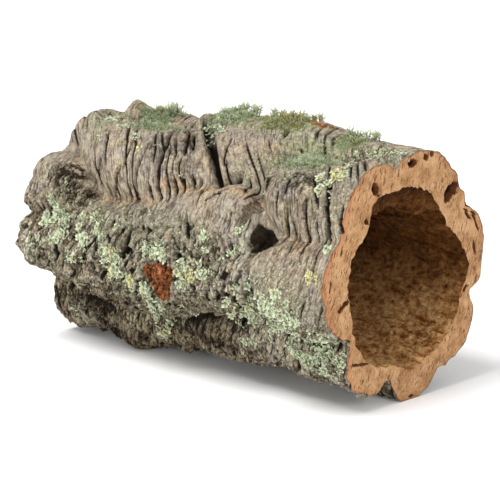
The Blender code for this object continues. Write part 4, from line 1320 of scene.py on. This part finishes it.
def add_rosettes(parts, draw, spots, reach, lobes, yellowish):
    """Rosettes of lobes that lie round each spot, (x, theta), and curl up from it."""
    for x, theta in spots:
        place, facing = on_bark(x, theta)
        if place.z < LOWEST_LICHEN*MM:
            continue
        size = reach*draw.uniform(0.45, 1.3)
        start = draw.uniform(0, 2*math.pi)
        hue = yellowish + draw.normal(0, 0.12)
        for lobe in range(lobes):
            shape = LOBES[int(draw.integers(len(LOBES)))]
            turned = start + 2*math.pi*(lobe + draw.uniform(-0.3, 0.3))/lobes
            side = facing.orthogonal().normalized()
            side.rotate(Quaternion(facing, turned))
            root = place + side*size*0.15*MM + facing*draw.uniform(-0.1, 0.6)*MM
            long = size*draw.uniform(0.7, 1.2)
            scale = (long, long*draw.uniform(0.7, 1.1), long*draw.uniform(0.8, 1.5))
            add_copies(parts, shape, [(root, facing)], [scale], [turned], [draw.uniform(-0.75, 0.1)],
                       0.15 + 0.85*shape[0][:, 0].clip(0, 1), [hue])


for name, yellowish, seed, clusters in LICHENS:
    draw = np.random.default_rng(500 + seed)
    parts = []
    for middle in clusters:
        spots = cluster(draw, *middle, 0.6, 1.25, 0.6)
        add_rosettes(parts, draw, spots, 2.2, 6, yellowish + draw.normal(0, 0.15))
    lichen = joined_piece(name + "_lobes", parts, lichen_finish)
    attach(lichen, "root")
    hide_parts(name)


# Small lichen flecks, strewn over the bark between the patches, thickest low on the front. Each is a
# little rosette; most grow in clusters, (x, theta, radius, yellowish share), and the rest singly.
FLECK_CLUSTERS = (
    (60, 167, 4, 0.1), (56, 169, 3, 0.1), (63, 155, 3, 0.1), (133, 173, 4, 1.0), (130, 170, 3, 1.0),
    (38, 164, 3, 0.1), (37, 171, 3, 0.2), (26, 177, 3, 0.2), (29, 183, 3.5, 0.9), (36, 179, 3, 0.2),
    (43, 181, 3.5, 0.1), (69, 185, 2.5, 0.1), (65, 186, 2.5, 0.1), (70, 192, 2.5, 0.3),
    (52, 221, 3, 0.2), (59, 222, 3, 0.1), (108, 224, 3, 0.2), (128, 199, 3, 0.1),
    (-88, 187, 4, 0.4), (-80, 188, 3.5, 0.4), (-25, 93, 4, 0.0), (-77, 115, 4, 0.1),
    (-59, 120, 4, 0.1), (-49, 128, 2.5, 0.9), (-96, 112, 4, 0.0), (-89, 124, 3, 0.1),
    (-73, 169, 3, 0.3), (-117, 183, 4, 0.2), (-127, 187, 3, 0.2), (136, 157, 3, 0.0),
    (37, 165, 3, 0.2), (36, 162, 2.5, 0.2), (30, 184, 3, 0.9), (105, 95, 4, 0.1), (116, 92, 4, 0.2),
    (122, 90, 4, 0.2), (128, 88, 4, 0.2), (134, 88, 3, 0.2), (120, 112, 3, 0.1),
    (-119, 235, 4, 0.2), (70, 192, 3, 0.1), (-121, 173, 3, 0.0), (-28, 86, 4, 0.0),
    (-22, 88, 4, 0.0), (46, 218, 3, 0.2), (108, 226, 4, 0.2), (12, 213, 3, 0.2), (-64, 172, 3, 0.6),
    (84, 186, 3, 0.1), (-31, 90, 4, 0.1), (-20, 93, 4, 0.0), (-12, 96, 3.5, 0.1), (-6, 100, 3, 0.1),
    (-97, 105, 4, 0.1), (-20, 158, 3, 0.2), (-44, 166, 3.5, 0.3), (-58, 174, 3.5, 0.2),
    (8, 205, 3, 0.2), (64, 195, 3.5, 0.1), (78, 205, 3.5, 0.1), (-60, 30, 4, 0.1),
    (-52, 24, 4, 0.1), (-90, 22, 4, 0.1), (-96, 30, 3.5, 0.3), (-12, 14, 4, 0.1),
    (-4, 10, 3.5, 0.1), (34, 28, 4, 0.2), (42, 24, 4, 0.2), (96, 22, 4, 0.1), (104, 18, 4, 0.1),
    (88, 350, 4, 0.2), (50, 340, 4, 0.1), (42, 344, 3.5, 0.1), (-30, 336, 4, 0.1),
    (-38, 342, 4, 0.5), (-104, 354, 4, 0.1), (-112, 348, 4, 0.1), (-80, 352, 3.5, 0.3),
    (118, 338, 4, 0.1), (126, 344, 4, 0.1), (0, 46, 4, 0.1), (70, 50, 4, 0.2), (20, 20, 4, 0.1),
    (-30, 40, 4, 0.3), (90, 30, 4, 0.2), (-110, 10, 4, 0.1), (10, 350, 4, 0.3),
)
FLECK_TRIES = 9000


def fleck_likely(x, theta):
    crusted, mossed = (blotches(x, theta, STAINS[name]) for name in ("crust", "green"))
    likely = 0.015 + 0.3*crusted + 0.06*mossed
    likely = likely*smoothstep(-0.1, 0.5, noise(x/9, theta/7, 0.5, 95))
    plate_lost = (abs(x + 1) < 17) & (abs(theta - 191) < 12)
    return np.where(plate_lost, 0, likely)


draw = np.random.default_rng(600)
parts = []
for x0, theta0, radius, yellowish in FLECK_CLUSTERS:
    add_rosettes(parts, draw, cluster(draw, x0, theta0, radius, 0.5, 1, 0.5), 1.9, 5, yellowish)
add_rosettes(parts, draw, strewn(draw, FLECK_TRIES, 60, 420, fleck_likely), 1.2, 4, 0.25)
flecks = joined_piece("lichen_flecks", parts, lichen_finish)
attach(flecks, "root")
